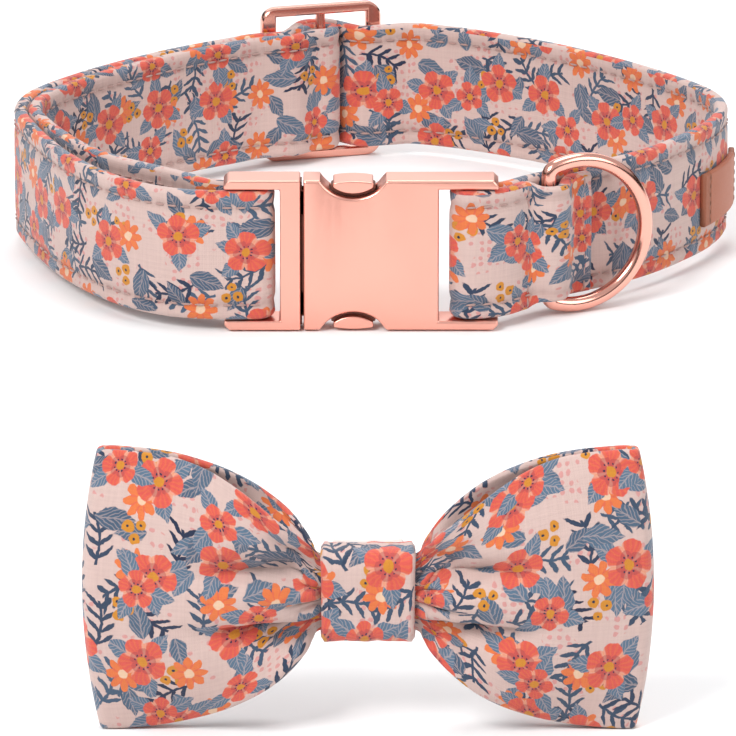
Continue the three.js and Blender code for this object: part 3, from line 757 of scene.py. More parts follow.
class Graph:
    """Adds nodes to a tree."""

    def __init__(self, tree):
        self.tree = tree

    def node(self, kind, inputs=None, **settings):
        made = self.tree.nodes.new(kind)
        for key, value in settings.items():
            setattr(made, key, value)
        self.fill(made, inputs or {})
        return made

    def fill(self, node, inputs):
        """Links or sets a node's inputs, each by its name or number."""
        for key, value in inputs.items():
            if isinstance(value, Wire):
                self.tree.links.new(value.socket, node.inputs[key])
            else:
                node.inputs[key].default_value = value

    def wire(self, node, output=0):
        return Wire(self, node.outputs[output])

    def group(self, tree, **inputs):
        return self.node("ShaderNodeGroup", inputs, node_tree=tree)

    def math(self, operation, *values):
        return self.wire(self.node("ShaderNodeMath", dict(enumerate(values)), operation=operation))

    def vector(self, operation, *values, output=0):
        inputs = dict(enumerate(values))
        return self.wire(self.node("ShaderNodeVectorMath", inputs, operation=operation), output)

    def parts(self, vector):
        node = self.node("ShaderNodeSeparateXYZ", {0: vector})
        return [self.wire(node, k) for k in range(3)]

    def join(self, x, y, z=0.0):
        return self.wire(self.node("ShaderNodeCombineXYZ", {0: x, 1: y, 2: z}))

    def turned(self, vector, angle):
        node = self.node("ShaderNodeVectorRotate", {"Vector": vector, "Angle": angle},
                         rotation_type="Z_AXIS")
        return self.wire(node)

    def length(self, vector):
        return self.vector("LENGTH", vector, output="Value")

    def polar(self, vector):
        """A place's distance from the middle and its angle."""
        x, y, _ = self.parts(vector)
        return self.length(vector), self.math("ARCTAN2", y, x)

    def below(self, value, edge, soft=SOFT):
        """1 where value is under edge, falling to 0 over a width of soft."""
        return self.wire(self.node("ShaderNodeMapRange", {
            "Value": value, "From Min": edge, "From Max": edge + soft, "To Min": 1.0,
            "To Max": 0.0}))

    def stripes(self, value, half, soft=SOFT):
        """1 on a stripe in the middle of every unit of value."""
        return self.below(abs(self.math("FRACT", value) - 0.5), half, soft)

    def wave(self, value):
        """A sine between 0 and 1."""
        return self.math("SINE", value) * 0.5 + 0.5

    def blend(self, share, under, over, kind="MIX"):
        node = self.node("ShaderNodeMix", {"Factor": share, "A": under, "B": over},
                         data_type="RGBA", blend_type=kind)
        return self.wire(node, "Result")

    def noise(self, vector, scale, detail=2.0, output=0):
        inputs = {"Vector": vector, "Scale": scale, "Detail": detail}
        return self.wire(self.node("ShaderNodeTexNoise", inputs), output)

    def bump(self, height, distance, strength):
        return self.wire(self.node("ShaderNodeBump", {
            "Height": height, "Distance": distance * MM, "Strength": strength}))

    def cloth(self):
        """The cloth map: millimetres along and across a piece."""
        return self.wire(self.node("ShaderNodeUVMap", uv_map="cloth"))

    def where(self):
        """The place on the piece itself, in metres."""
        return self.wire(self.node("ShaderNodeTexCoord"), "Object")


def shader_group(name, inputs, outputs):
    """An empty shader node group with named sockets: returns its graph, inputs and output node."""
    tree = bpy.data.node_groups.new(name, "ShaderNodeTree")
    for socket, (kind, default) in inputs.items():
        made = tree.interface.new_socket(socket, in_out="INPUT", socket_type=kind)
        if default is not None:
            made.default_value = default
    for socket, kind in outputs.items():
        tree.interface.new_socket(socket, in_out="OUTPUT", socket_type=kind)
    graph = Graph(tree)
    entry = graph.node("NodeGroupInput")
    return graph, {key: graph.wire(entry, key) for key in inputs}, graph.node("NodeGroupOutput")


def shared(name, make):
    """A node group by name, made the first time it is asked for."""
    return bpy.data.node_groups.get(name) or make()


# The print

# Each motif's places: seed, spacing, jitter and the share of them that carry it, then its size
DOT_PLACES = (3.1, 1.55, 0.45, 1.0)
BERRY_PLACES = (19.4, 11.5, 0.6, 0.62)
DAISY_PLACES = (8.8, 13.0, 0.5, 0.85)
SPRIG_PLACES = ((11.7, 11.0, 0.6, 0.78), (27.3, 13.0, 0.6, 0.78))
LEAF_PLACES = ((5.5, 9.5, 0.55, 0.78, 5.6), (41.2, 11.5, 0.55, 0.78, 7.0))
BLOSSOM_PLACES = ((0.0, 15.0, 0.42, 0.88, 4.0), (63.9, 18.0, 0.42, 0.88, 3.1))

# Sizes of the motifs in millimetres, and shares of ink
WOBBLE = 0.9
WOBBLE_SCALE = 0.7
PATCH_SCALE = 0.16
PATCH_SHARE = 0.43
DOT_SIZE = 0.36
DOT_INK = 0.75
STEM = 0.2
STEM_BEND = 0.05
SPRIG_REACH = 4.0
SPRIG_LEAN = 0.75  # how far the leaflets lean along the stem for each millimetre away from it
LEAFLET_PITCH = 2.0
LEAFLET_AWAY = 1.1
LEAFLET_SHAPE = (1.1, 0.4)  # how much narrower than round it is along and across the stem
LEAFLET_SIZE = 0.46
LEAF_WIDE = 0.27  # a single leaf's half width against its length
LEAF_POINT = 0.75  # how far a leaf's widest part lies towards its base
LEAF_BEND = 0.5
VEINS = 6.0  # side veins on a leaf
VEIN_LEAN = 1.6
VEIN_INK = 0.45
BERRIES = ((0.0, 1.2, 0.95), (-1.15, -0.7, 0.85), (1.2, -0.6, 0.75))  # x, y and size in a bunch
BERRY_EYE = 0.22
DAISY_PETALS = 8
DAISY_SIZE = 1.75
DAISY_PETAL = 1.3
DAISY_EYE = 0.75
BLOSSOM_LEAVES = ((0.3, 5.2), (2.5, 4.4), (4.4, 4.8))  # angle and length behind a blossom
BLOSSOM_LEAF = (1.5, 0.4)  # half width and bend of each
PETALS = 5
PETAL_EDGE = 0.14
PETAL_ROUND = 0.6
STREAKS = 25  # fine lines round a blossom
STAMENS = 10
STAMEN = 0.1

# Parts of a blossom as shares of its size
LEAF_START = 0.55
STREAK_START = 0.55
PETAL_START, PETAL_TIP = 0.7, 0.3
WHORL_START, WHORL_TIP = 0.36, 0.2
EYE = 0.2
STAMEN_RING = 0.31


def scatter_group():
    """Spreads motifs over the cloth: each gets its own place, turn and random numbers."""
    graph, given, out = shader_group(
        "Scatter",
        {"Cloth": (VECTOR, None), "Spacing": (FLOAT, 12.0), "Seed": (FLOAT, 0.0),
         "Jitter": (FLOAT, 0.5)},
        {"Place": VECTOR, "Chance": FLOAT, "Tint": FLOAT})
    spacing, seed = given["Spacing"], given["Seed"]
    shifted = graph.vector("DIVIDE", given["Cloth"], graph.join(spacing, spacing, 1.0))
    shifted = graph.vector("ADD", shifted, graph.join(seed, seed * 1.7 + 0.3))
    cells = graph.node(
        "ShaderNodeTexVoronoi", {"Vector": shifted, "Scale": 1.0, "Randomness": given["Jitter"]},
        voronoi_dimensions="2D", feature="F1")
    local = graph.vector("SUBTRACT", shifted, graph.wire(cells, "Position"))
    local = graph.vector("MULTIPLY", local, graph.join(spacing, spacing, 0.0))
    angle, chance, tint = graph.parts(graph.wire(cells, "Color"))
    graph.fill(out, {"Place": graph.turned(local, angle * TAU), "Chance": chance, "Tint": tint})
    return graph.tree


def leaf_group():
    """One pointed leaf: it starts at Base from the motif's middle and lies along Angle."""
    graph, given, out = shader_group(
        "Leaf",
        {"Place": (VECTOR, None), "Angle": (FLOAT, 0.0), "Base": (FLOAT, 0.0),
         "Length": (FLOAT, 5.0), "Width": (FLOAT, 1.2), "Bend": (FLOAT, 0.0)},
        {"Mask": FLOAT, "Vein": FLOAT})
    x, y, _ = graph.parts(graph.turned(given["Place"], -given["Angle"]))
    share = (x - given["Base"]) / given["Length"]
    away = abs(y - share * share * given["Bend"])
    inside = graph.below(-share, 0.0, 0.02) * graph.below(share, 1.0, 0.02)
    kept = graph.math("MINIMUM", graph.math("MAXIMUM", share, NEAR), 1 - NEAR)
    wide = given["Width"] * graph.math("SINE", kept**LEAF_POINT * math.pi)
    side = graph.stripes(share * VEINS - away * VEIN_LEAN, 0.08)
    graph.fill(out, {
        "Mask": inside * graph.below(away - wide, -SOFT, PETAL_EDGE),
        "Vein": graph.math("MAXIMUM", graph.below(away, 0.05), side * 0.8)})
    return graph.tree


def print_group():
    """The cotton's print: five-petalled blossoms, daisies, veined leaves, sprigs and berries."""
    scatter, leaf = scatter_group(), leaf_group()
    inputs = {"Cloth": (VECTOR, None)}
    inputs.update({key: (COLOUR, (*value, 1)) for key, value in PRINT_COLOURS.items()})
    graph, given, out = shader_group("Floral print", inputs, {"Color": COLOUR, "Ink": FLOAT})
    wobble = graph.vector(
        "SUBTRACT", graph.noise(given["Cloth"], WOBBLE_SCALE, output="Color"), (0.5, 0.5, 0.5))
    wobble = graph.vector("MULTIPLY", wobble, (WOBBLE, WOBBLE, 0.0))
    cloth = graph.vector("ADD", given["Cloth"], wobble)
    ground, dark = given["Ground"], given["Sprig"]
    colour, ink = ground, 0.0

    def spread(seed, spacing, jitter, share):
        """A motif's place, 1 or 0 for whether it shows there, and its random tint."""
        node = graph.group(scatter, Cloth=cloth, Spacing=spacing, Seed=seed, Jitter=jitter)
        shown = graph.below(graph.wire(node, "Chance"), share, NEAR)
        return graph.wire(node, "Place"), shown, graph.wire(node, "Tint")

    def lay(mask, over):
        nonlocal colour, ink
        colour = graph.blend(mask, colour, over)
        ink = graph.math("MAXIMUM", ink, mask)

    def lay_leaf(spot, shown, shade, angle, base, length, width, bend):
        node = graph.group(
            leaf, Place=spot, Angle=angle, Base=base, Length=length, Width=width, Bend=bend)
        vein = graph.wire(node, "Vein")
        lay(graph.wire(node, "Mask") * shown, graph.blend(vein * VEIN_INK, shade, ground))

    # pale dots in loose patches
    spot, shown, _ = spread(*DOT_PLACES)
    patch = graph.below(graph.noise(cloth, PATCH_SCALE, 1.0), PATCH_SHARE, 0.02)
    lay(patch * graph.below(graph.length(spot), DOT_SIZE) * shown * DOT_INK, given["Dots"])

    # dark sprigs with paired leaflets
    for places in SPRIG_PLACES:
        spot, shown, tint = spread(*places)
        x, y, _ = graph.parts(spot)
        away = abs(y - x * x * STEM_BEND)
        stem = graph.below(away, STEM) * graph.below(abs(x), SPRIG_REACH, FINE)
        swept = x - away * SPRIG_LEAN
        lean = (graph.math("FRACT", swept / LEAFLET_PITCH) - 0.5) * LEAFLET_PITCH
        leaflet = graph.length(graph.join(
            lean * LEAFLET_SHAPE[0], (away - LEAFLET_AWAY) * LEAFLET_SHAPE[1]))
        leaflet = graph.below(leaflet, LEAFLET_SIZE, FINE)
        leaflet = leaflet * graph.below(abs(swept), SPRIG_REACH - FINE, FINE)
        lay(graph.math("MAXIMUM", stem, leaflet) * shown,
            graph.blend(tint * 0.6, dark, given["Leaf"]))

    # single leaves
    for *places, length in LEAF_PLACES:
        spot, shown, tint = spread(*places)
        shade = graph.blend(tint * 0.5, given["Leaf"], dark)
        lay_leaf(spot, shown, shade, 0.0, -length / 2, length, length * LEAF_WIDE, LEAF_BEND)

    # gold berries in threes
    spot, shown, _ = spread(*BERRY_PLACES)
    for x, y, size in BERRIES:
        away = graph.length(graph.vector("SUBTRACT", spot, (x, y, 0)))
        shade = graph.blend(graph.below(away, size * BERRY_EYE, FINE), given["Gold"], dark)
        lay(graph.below(away, size) * shown, shade)

    # daisies
    spot, shown, _ = spread(*DAISY_PLACES)
    away, angle = graph.polar(spot)
    petal = abs(graph.math("COSINE", angle * (DAISY_PETALS / 2)))
    shade = graph.blend(graph.below(petal, 0.25, 0.3) * 0.55, given["Daisy"], given["Blossom"])
    shade = graph.blend(graph.below(away, DAISY_EYE, 0.15), shade, given["Cream"])
    lay(graph.below(away - petal * DAISY_PETAL, DAISY_SIZE, PETAL_EDGE) * shown, shade)

    # large blossoms with leaves behind them
    for *places, size in BLOSSOM_PLACES:
        spot, shown, _ = spread(*places)
        for angle, length in BLOSSOM_LEAVES:
            lay_leaf(spot, shown, given["Leaf"], angle, size * LEAF_START, length, *BLOSSOM_LEAF)
        away, angle = graph.polar(spot)
        outer = abs(graph.math("COSINE", angle * (PETALS / 2)))
        inner = abs(graph.math("COSINE", angle * (PETALS / 2) + math.pi / 2))
        streak = graph.stripes(angle * (STREAKS / TAU), 0.1, 0.2)
        shade = graph.blend(graph.below(outer, 0.18, 0.3) * 0.6, given["Blossom"], given["Cream"])
        shade = graph.blend(
            streak * graph.below(-away, -size * STREAK_START, 0.4) * 0.35, shade, given["Daisy"])
        whorl = graph.below(away - inner**PETAL_ROUND * (size * WHORL_TIP), size * WHORL_START)
        shade = graph.blend(whorl * 0.55, shade, graph.blend(0.45, given["Blossom"], dark))
        rim = outer**PETAL_ROUND * (size * PETAL_TIP)
        lay(graph.below(away - rim, size * PETAL_START, PETAL_EDGE) * shown, shade)
        lay(graph.below(away, size * EYE) * shown, given["Gold"])
        across = (graph.math("FRACT", angle * (STAMENS / TAU)) - 0.5) * (size * EYE)
        bead = graph.length(graph.join(across, away - size * STAMEN_RING))
        lay(graph.below(bead, STAMEN, FINE) * shown, dark)
    graph.fill(out, {"Color": colour, "Ink": ink})
    return graph.tree


# Materials: scales for each metre, and depths in millimetres

METAL_SCALE = 900.0
GRAIN_SCALE = (600.0, 6000.0, 6000.0)
LEATHER_SCALE = 700.0
PORE_SCALE = 2400.0
CREASE_SCALE = 260.0
CREASE = 0.22
YARN_DEPTH = 0.05
RIB_DEPTH = 0.18
PUCKER = 0.28
SEAM_DIP = 0.12


def weave_group():
    """A plain weave: Height rises on each yarn, and Tone is the yarns' uneven colour."""
    graph, given, out = shader_group(
        "Weave", {"Cloth": (VECTOR, None), "Pitch": (FLOAT, YARN)},
        {"Height": FLOAT, "Tone": FLOAT})
    x, y, _ = graph.parts(graph.vector(
        "DIVIDE", given["Cloth"], graph.join(given["Pitch"], given["Pitch"], 1.0)))
    across, down = graph.math("SINE", x * math.pi), graph.math("SINE", y * math.pi)
    over = across * down
    height = graph.math("MAXIMUM", abs(across) * graph.below(-over, 0.0, 0.3),
                        abs(down) * graph.below(over, 0.0, 0.3))
    slubs = graph.noise(graph.join(x * 0.9, y * 0.06), 1.0, 3.0)
    cross = graph.noise(graph.join(x * 0.06, y * 0.9), 1.0, 3.0)
    graph.fill(out, {"Height": height, "Tone": (slubs + cross) * 0.5})
    return graph.tree


def wear_group():
    """Edge wear: Edge is high on worn edges, and Blotch is uneven handling over the rest."""
    graph, given, out = shader_group(
        "Edge wear", {"Vector": (VECTOR, None), "Scale": (FLOAT, METAL_SCALE)},
        {"Edge": FLOAT, "Blotch": FLOAT})
    sharp = graph.wire(graph.node("ShaderNodeNewGeometry"), "Pointiness")
    rough = graph.noise(given["Vector"], given["Scale"], 4.0)
    edge = graph.node("ShaderNodeMapRange", {
        "Value": sharp + rough * 0.05, "From Min": 0.54, "From Max": 0.66})
    graph.fill(out, {"Edge": graph.wire(edge),
                     "Blotch": graph.noise(given["Vector"], given["Scale"] * 0.12, 3.0)})
    return graph.tree


def new_material(name):
    material = bpy.data.materials.new(name)
    material.use_nodes = True
    material.node_tree.nodes.clear()
    graph = Graph(material.node_tree)
    surface = graph.node("ShaderNodeBsdfPrincipled")
    graph.node("ShaderNodeOutputMaterial", {"Surface": graph.wire(surface)})
    return material, graph, surface


def two_tone(graph, share, colour, level):
    """A colour that goes down to a level of itself where share is high."""
    return graph.blend(share, (*colour, 1), (*[c * level for c in colour], 1))


def cloth_material(name, look, middle=None):
    """Printed cotton. middle is the height that sewn lines lie round, for cloth that has them, with
    painted shade along those lines.
    """
    material, graph, surface = new_material(name)
    cloth = graph.cloth()
    pattern = graph.group(
        shared("Floral print", print_group), Cloth=cloth, Ground=(*look.ground, 1),
        Blossom=(*look.blossom, 1), Leaf=(*look.leaf, 1), Gold=(*look.gold, 1))
    weave = graph.group(shared("Weave", weave_group), Cloth=cloth, Pitch=YARN)
    tone = graph.wire(weave, "Tone") * 0.9 + 0.15
    colour = graph.wire(pattern, "Color")
    colour = graph.blend(0.22, colour, graph.join(tone, tone, tone), "OVERLAY")
    height = graph.wire(weave, "Height") * YARN_DEPTH
    if middle is not None:
        z = graph.parts(graph.where())[2]
        off = abs(abs(z / MM - middle) - SEAM_UP)
        near = graph.math("EXPONENT", -(off * off) * 0.9)
        pucker = graph.wave(graph.parts(cloth)[0] * (TAU / STITCH_PITCH))
        height = height - near * (pucker * PUCKER + SEAM_DIP)
        # Painted shade: the cloth darkened along the seams, where the padding dips into a groove
        colour = graph.blend(near * 0.22, colour, (*SEAM_PAINTED_SHADE, 1), "MULTIPLY")
    height = height + graph.noise(graph.where(), CREASE_SCALE, 3.0) * CREASE
    graph.fill(surface, {
        "Base Color": colour, "Roughness": 0.86 - graph.wire(pattern, "Ink") * 0.08,
        "Specular IOR Level": 0.25, "Sheen Weight": 0.25, "Sheen Roughness": 0.5,
        "Normal": graph.bump(height, 1, 0.7)})
    return material


def metal_material(name, colour, roughness, grain):
    """Plated metal: a fine grain and a softly uneven polish."""
    material, graph, surface = new_material(name)
    where = graph.where()
    wear = graph.group(shared("Edge wear", wear_group), Vector=where, Scale=METAL_SCALE)
    blotch = graph.wire(wear, "Blotch")
    brushed = graph.noise(graph.vector("MULTIPLY", where, GRAIN_SCALE), 1.0)
    graph.fill(surface, {
        "Base Color": two_tone(graph, blotch * 0.3, colour, 0.86), "Metallic": 1.0,
        "Roughness": roughness + blotch * 0.1, "Normal": graph.bump(brushed, grain, 0.5)})
    return material


def leather_material(name, colour):
    """Smooth leather with worn edges, and a pressed line beside each short end, with painted shade
    on the line and on the ends beyond it.
    """
    material, graph, surface = new_material(name)
    where = graph.where()
    wear = graph.group(shared("Edge wear", wear_group), Vector=where, Scale=LEATHER_SCALE)
    edge, blotch = graph.wire(wear, "Edge"), graph.wire(wear, "Blotch")
    pores = graph.node(
        "ShaderNodeTexVoronoi", {"Vector": where, "Scale": PORE_SCALE}, feature="DISTANCE_TO_EDGE")
    grain = graph.below(-graph.wire(pores), -0.25, 0.25)
    shade = two_tone(graph, blotch * 0.7, colour, 0.55)
    shade = graph.blend(edge * 0.5, shade, (*WORN_LEATHER, 1))
    # Painted shade: the pressed line's groove and the ends beyond it are darkened
    off = abs(graph.parts(graph.cloth())[0] - LABEL_LENGTH / 2)
    off = (off - (LABEL_LENGTH / 2 - LABEL_SEAM)) / 0.35
    line = graph.math("EXPONENT", -(off * off))
    end_painted_shade = 1.0 - graph.below(off, 0.0, 1.0)
    height = (1.0 - grain) * 0.05 + blotch * 0.15 - line * 0.3
    graph.fill(surface, {
        "Base Color": graph.blend(end_painted_shade * 0.35 + line * 0.45, shade, (*LABEL_PAINTED_SHADE, 1)),
        "Roughness": 0.42 + blotch * 0.2, "Normal": graph.bump(height, 1, 0.6)})
    return material


def elastic_material(name, colour):
    """Knitted elastic: ribs across the tape."""
    material, graph, surface = new_material(name)
    cloth = graph.cloth()
    weave = graph.group(shared("Weave", weave_group), Cloth=cloth, Pitch=TAPE_YARN)
    rib = graph.wave(graph.parts(cloth)[0] * (TAU / TAPE_RIB))
    height = graph.wire(weave, "Height") * YARN_DEPTH + rib * RIB_DEPTH
    graph.fill(surface, {
        "Base Color": graph.blend(rib * 0.3, (*[c * 0.78 for c in colour], 1), (*colour, 1)),
        "Roughness": 0.8 + graph.wire(weave, "Tone") * 0.1,
        "Normal": graph.bump(height, 1, 0.8)})
    return material


def thread_material(name, colour):
    """Twisted sewing thread."""
    material, graph, surface = new_material(name)
    x, y, z = graph.parts(graph.where())
    twist = graph.wave((x + y + z) * (TAU / (THREAD_TWIST * MM)))
    graph.fill(surface, {
        "Base Color": two_tone(graph, twist * 0.35, colour, 0.6), "Roughness": 0.62 + twist * 0.1,
        "Sheen Weight": 0.3, "Normal": graph.bump(twist, 0.05, 0.6)})
    return material


# Settings

def length_property(name, description, default, least=0):
    return bpy.props.FloatProperty(
        name=name, description=description, default=default * MM, min=least * MM,
        subtype="DISTANCE", unit="LENGTH")


def colour_property(name, description, default):
    return bpy.props.FloatVectorProperty(
        name=name, description=description, default=default, size=3, min=0, max=1,
        subtype="COLOR")


class CollarSizes(bpy.types.PropertyGroup):
    """Sizes that can change without leaving the part's frame."""

    stitch_pitch: length_property("Stitch pitch", "From one stitch to the next", STITCH_PITCH, 1)
    stitch_length: length_property(
        "Stitch length", "The part of a stitch that shows", STITCH_LENGTH, 0.5)
    thread: length_property("Thread", "Diameter of the sewing thread", THREAD, 0.1)
    puff: length_property("Puff", "How far the strap's faces swell between the seams", PUFF)
    fold: length_property("Gathers", "Depth of the small gathers beside the knot", GATHER_DEPTH)


class CollarColours(bpy.types.PropertyGroup):
    """Colours of the cloth, the metal and the leather."""

    ground: colour_property("Ground", "The cotton under the print", PRINT_COLOURS["Ground"])
    blossom: colour_property("Blossoms", "The large flowers", PRINT_COLOURS["Blossom"])
    leaf: colour_property("Leaves", "The veined leaves", PRINT_COLOURS["Leaf"])
    gold: colour_property("Berries", "The small berries", PRINT_COLOURS["Gold"])
    metal: colour_property("Metal", "The plating", PLATING)
    leather: colour_property("Leather", "The label", LEATHER)
    thread: colour_property("Thread", "The sewing thread", THREAD_WITH_GROOVE_SHADE)


# The bow's cloth

# Sections of a wing: the share of the way out, of the height and of the depth, how far the edges
# of its two layers gape, and the share of the valleys
WING = (
    (0, 0, 0, 1, 0.22), (0.04, 0.08, 0.16, 1, 0.5), (0.09, 0.22, 0.4, 1, 0.85),
    (0.17, 0.37, 0.72, 1, 1), (0.28, 0.55, 0.93, 0.85, 0.85), (0.4, 0.71, 1, 0.55, 0.5),
    (0.52, 0.83, 0.95, 0.25, 0.2), (0.65, 0.92, 0.78, 0.05, 0.05), (0.78, 0.97, 0.56, 0, 0),
    (0.88, 0.99, 0.36, 0, 0), (0.94, 1, 0.24, 0, 0), (0.975, 1, 0.12, 0, 0),
    (0.993, 1, -0.12, 0, 0), (1, 1, -0.4, 0, 0),
)
EDGE_SHARE = 0.8
EDGE_CURVE = 2.4
BOW_END = BOW_WIDTH / 2 - BOW_CLOTH / 2
BOW_HALF = BOW_HEIGHT / 2
KNOT_HALF = KNOT_WIDTH / 2
KNOT_INSIDE = KNOT_HEIGHT / 2 - KNOT_CLOTH - GAP
KNOT_DEEP = PINCH_DEPTH + BOW_CLOTH + 2 * GAP + KNOT_CLOTH


def bow_origin():
    """The bow's middle in the source's frame, from where its knot is packed."""
    low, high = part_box("bow_knot")
    middle = (low + high) / 2 / MM - SHIFT
    return Vector((middle.x, middle.y, middle.z + KNOT_DROP))


def wing_point(row, side, face, up):
    """A point of the wings' middle surface at one section and one share of the height."""
    out, tall, deep, gape, fold = row
    end = BOW_END - BOW_CURVE * up * up
    x = KNOT_HALF + out * (end - KNOT_HALF)
    z = up * (KNOT_INSIDE + tall * (BOW_HALF - KNOT_INSIDE)) - KNOT_DROP * (1 - tall)
    full = max(0, PINCH_DEPTH / 2 + deep * (BOW_DEPTH - PINCH_DEPTH) / 2)
    shut = min(full, BOW_CLOTH / 2 + GAP / 2)
    edge = shut + gape * (EDGE_SHARE * full - shut)
    depth = full + (edge - full) * abs(up) ** EDGE_CURVE
    beyond = (abs(z + KNOT_DROP) - RIDGE_HEIGHT / 2) / VALLEY_WIDTH
    beyond = beyond / (VALLEY_STEEP if beyond < 0 else VALLEY_BROAD)
    valley = min(fold * VALLEY_MORE * VALLEY_DEPTH * math.exp(-beyond * beyond), depth - shut)
    return Vector((side * x, face * (depth - max(valley, 0)), z))


def closed_spline(points, each):
    """Samples a smooth closed curve through the points, each times between two of them."""
    count = len(points)
    made = []
    for i in range(count):
        near = [np.array(points[(i + k) % count]) for k in (-1, 0, 1, 2)]
        made += [bend(*near, n / each) for n in range(each)]
    return made


def gathers(p, fold):
    """Small gathers that fan out from the knot, as a move along Y."""
    x, z = p[0], p[2]
    away = abs(x) - KNOT_HALF
    slope = math.atan2(z + KNOT_DROP, abs(x) - KNOT_HALF * FAN_FOCUS)
    wave = math.sin(slope * FAN_WAVES + (FAN_RIGHT if x > 0 else FAN_LEFT))
    wave += math.sin(slope * FAN_RIPPLES + x * SWELL_LEAN) / 2
    near = math.exp(-((away / GATHER_REACH) ** 2)) * smooth(*GATHER_START, away)
    swell = math.sin(x * SWELL_WAVE + z * SWELL_LEAN) / 2
    swell = swell * smooth(*SWELL_RISE, away) * smooth(*SWELL_FALL, away)
    return fold * (wave * near * FAN_DEPTH + swell)


def wing_loop(up, fold):
    """The wings' middle line at one share of the height, as a fine closed loop."""
    back = WING[::-1][1:]
    loop = []
    for rows, side, face in ((WING, 1, -1), (back, 1, 1), (WING, -1, 1), (back, -1, -1)):
        loop += [wing_point(row, side, face, up) for row in rows]
    made = []
    for p in closed_spline(loop, WING_FINE):
        face = -1 if p[1] < 0 else 1
        inset = smooth(*GATHER_INSET, abs(p[1]))
        made.append(Vector((p[0], p[1] + face * gathers(p, fold) * inset, p[2])))
    return made


def wings_piece(fold):
    """The bow's wings: a closed loop of cloth with rounded top and bottom edges."""
    rows = range(WING_ROWS + 1)
    turns = [math.pi * (WING_EDGE + (1 - 2 * WING_EDGE) * j / WING_ROWS) for j in rows]
    grid = [wing_loop(-math.cos(a) / math.cos(math.pi * WING_EDGE), fold) for a in turns]
    count = len(grid[0])
    origin = bow_origin()
    wide = BOW_CLOTH / 2
    rings = []
    for i in range(count):
        walls = []
        for j in rows:
            along = grid[j][(i + 1) % count] - grid[j][i - 1]
            up = grid[min(j + 1, WING_ROWS)][i] - grid[max(j - 1, 0)][i]
            edge = min(min(j, WING_ROWS - j) / HEM_ROWS, 1)
            thin = math.sqrt(1 - (1 - edge) ** 2) * (1 - HEM) + HEM
            walls.append((grid[j][i] + origin, along.cross(up).normalized() * wide * thin))
        rings.append([p + n for p, n in walls] + [p - n for p, n in reversed(walls)])
    lengths = lengths_of(grid[WING_ROWS // 2], closed=True)
    column = lengths_of([row[count // 8] for row in grid])
    rounds = column + [2 * column[-1] + 2 * wide - v for v in reversed(column)]
    rounds.append(rounds[-1] + wide)
    return skin("bow_wings_cloth", rings, True, lengths, rounds)


def bent_path(tall, deep, corner):
    """A rounded rectangle seen from the side: points and outward directions in Y and Z."""
    middles = [Vector((0, y * (deep / 2 - corner), z * (tall / 2 - corner)))
               for y, z in ((1, 1), (1, -1), (-1, -1), (-1, 1))]
    made = []
    for i, at in enumerate(middles):
        for k in range(BEND_STEPS + 1):
            angle = math.pi / 2 * (1 - i - k / BEND_STEPS)
            out = Vector((0, math.cos(angle), math.sin(angle)))
            made.append((at + out * corner, out))
        straight = middles[(i + 1) % len(middles)] - at
        made += [(at + out * corner + straight * (k / BEND_STEPS), out)
                 for k in range(1, BEND_STEPS)]
    return made


def bent_piece(name, origin, tall, deep, corner, thick, width, crease):
    """A cloth band bent round the X axis, with rolled edges and long soft creases."""
    path = bent_path(tall, deep, corner)
    rings = []
    for n, (at, out) in enumerate(path):
        turn_at = n / len(path)
        outer, inner = [], []
        for j in range(BAND_ROWS + 1):
            share = j / BAND_ROWS * 2 - 1
            rim = math.sqrt(max(0, 1 - max(0, (abs(share) - RIM_START) / (1 - RIM_START)) ** 2))
            roll = ROLL * math.exp(-(((abs(share) - ROLL_PLACE) / ROLL_WIDE) ** 2))
            waves = sum(high * math.sin(share * across + turn_at * onward)
                        for across, onward, high in CREASES)
            lift = crease * waves * (1 - share * share) + roll
            x = share * width / 2 * (1 - BAND_WAIST * math.sin(turn_at * TAU * 2))
            base = origin + at + Vector((x, 0, 0))
            outer.append(base + out * (thick / 2 * rim + lift))
            inner.append(base - out * (thick / 2 * rim))
        rings.append(outer + inner[::-1])
    lengths = lengths_of([at for at, _ in path], closed=True)
    return skin(name, rings, True, lengths, lengths_of(rings[0], closed=True))


# The ring and the label

def arc(x, z, radius, start, end, steps):
    """Points on an arc in X and Z, each with its outward direction."""
    made = []
    for i in range(steps):
        angle = start + (end - start) * i / (steps - 1)
        out = Vector((math.cos(angle), 0, math.sin(angle)))
        made.append((Vector((x, 0, z)) + out * radius, out))
    return made


def ring_piece():
    """The leash ring: a round wire bent to a D, with its straight bar in the strap's tunnel."""
    bow = (RING_HEIGHT - WIRE) / 2
    bow_x = RING_REACH - WIRE - bow
    corner_z = math.sqrt((bow - RING_CORNER) ** 2 - (bow_x - RING_CORNER) ** 2)
    meet = math.atan2(corner_z, RING_CORNER - bow_x)
    line = arc(RING_CORNER, corner_z, RING_CORNER, math.pi, meet, RING_BEND_STEPS)
    line += arc(bow_x, 0, bow, meet, -meet, RING_BOW_STEPS)[1:-1]
    line += arc(RING_CORNER, -corner_z, RING_CORNER, -meet, -math.pi, RING_BEND_STEPS)
    line += [(Vector((0, 0, corner_z * (2 * k / RING_BEND_STEPS - 1))), Vector((-1, 0, 0)))
             for k in range(1, RING_BEND_STEPS)]
    ahead = SPINE.ahead(RING_PLACE)
    turned = Matrix.Rotation(math.atan2(ahead[1], ahead[0]) - math.radians(RING_ANGLE), 4, "Z")
    hinge = Vector((*SPINE.beside(RING_PLACE, RING_OUT), RING_LIFT))
    turns = [TAU * k / WIRE_SIDES for k in range(WIRE_SIDES)]
    rings = []
    for at, out in line:
        section = [out * math.cos(a) + Vector((0, math.sin(a), 0)) for a in turns]
        rings.append([turned @ (at + step * (WIRE / 2)) + hinge for step in section])
    lengths = lengths_of([at for at, _ in line], closed=True)
    return skin("ring_wire", rings, True, lengths, [WIRE / 2 * a for a in (*turns, TAU)])


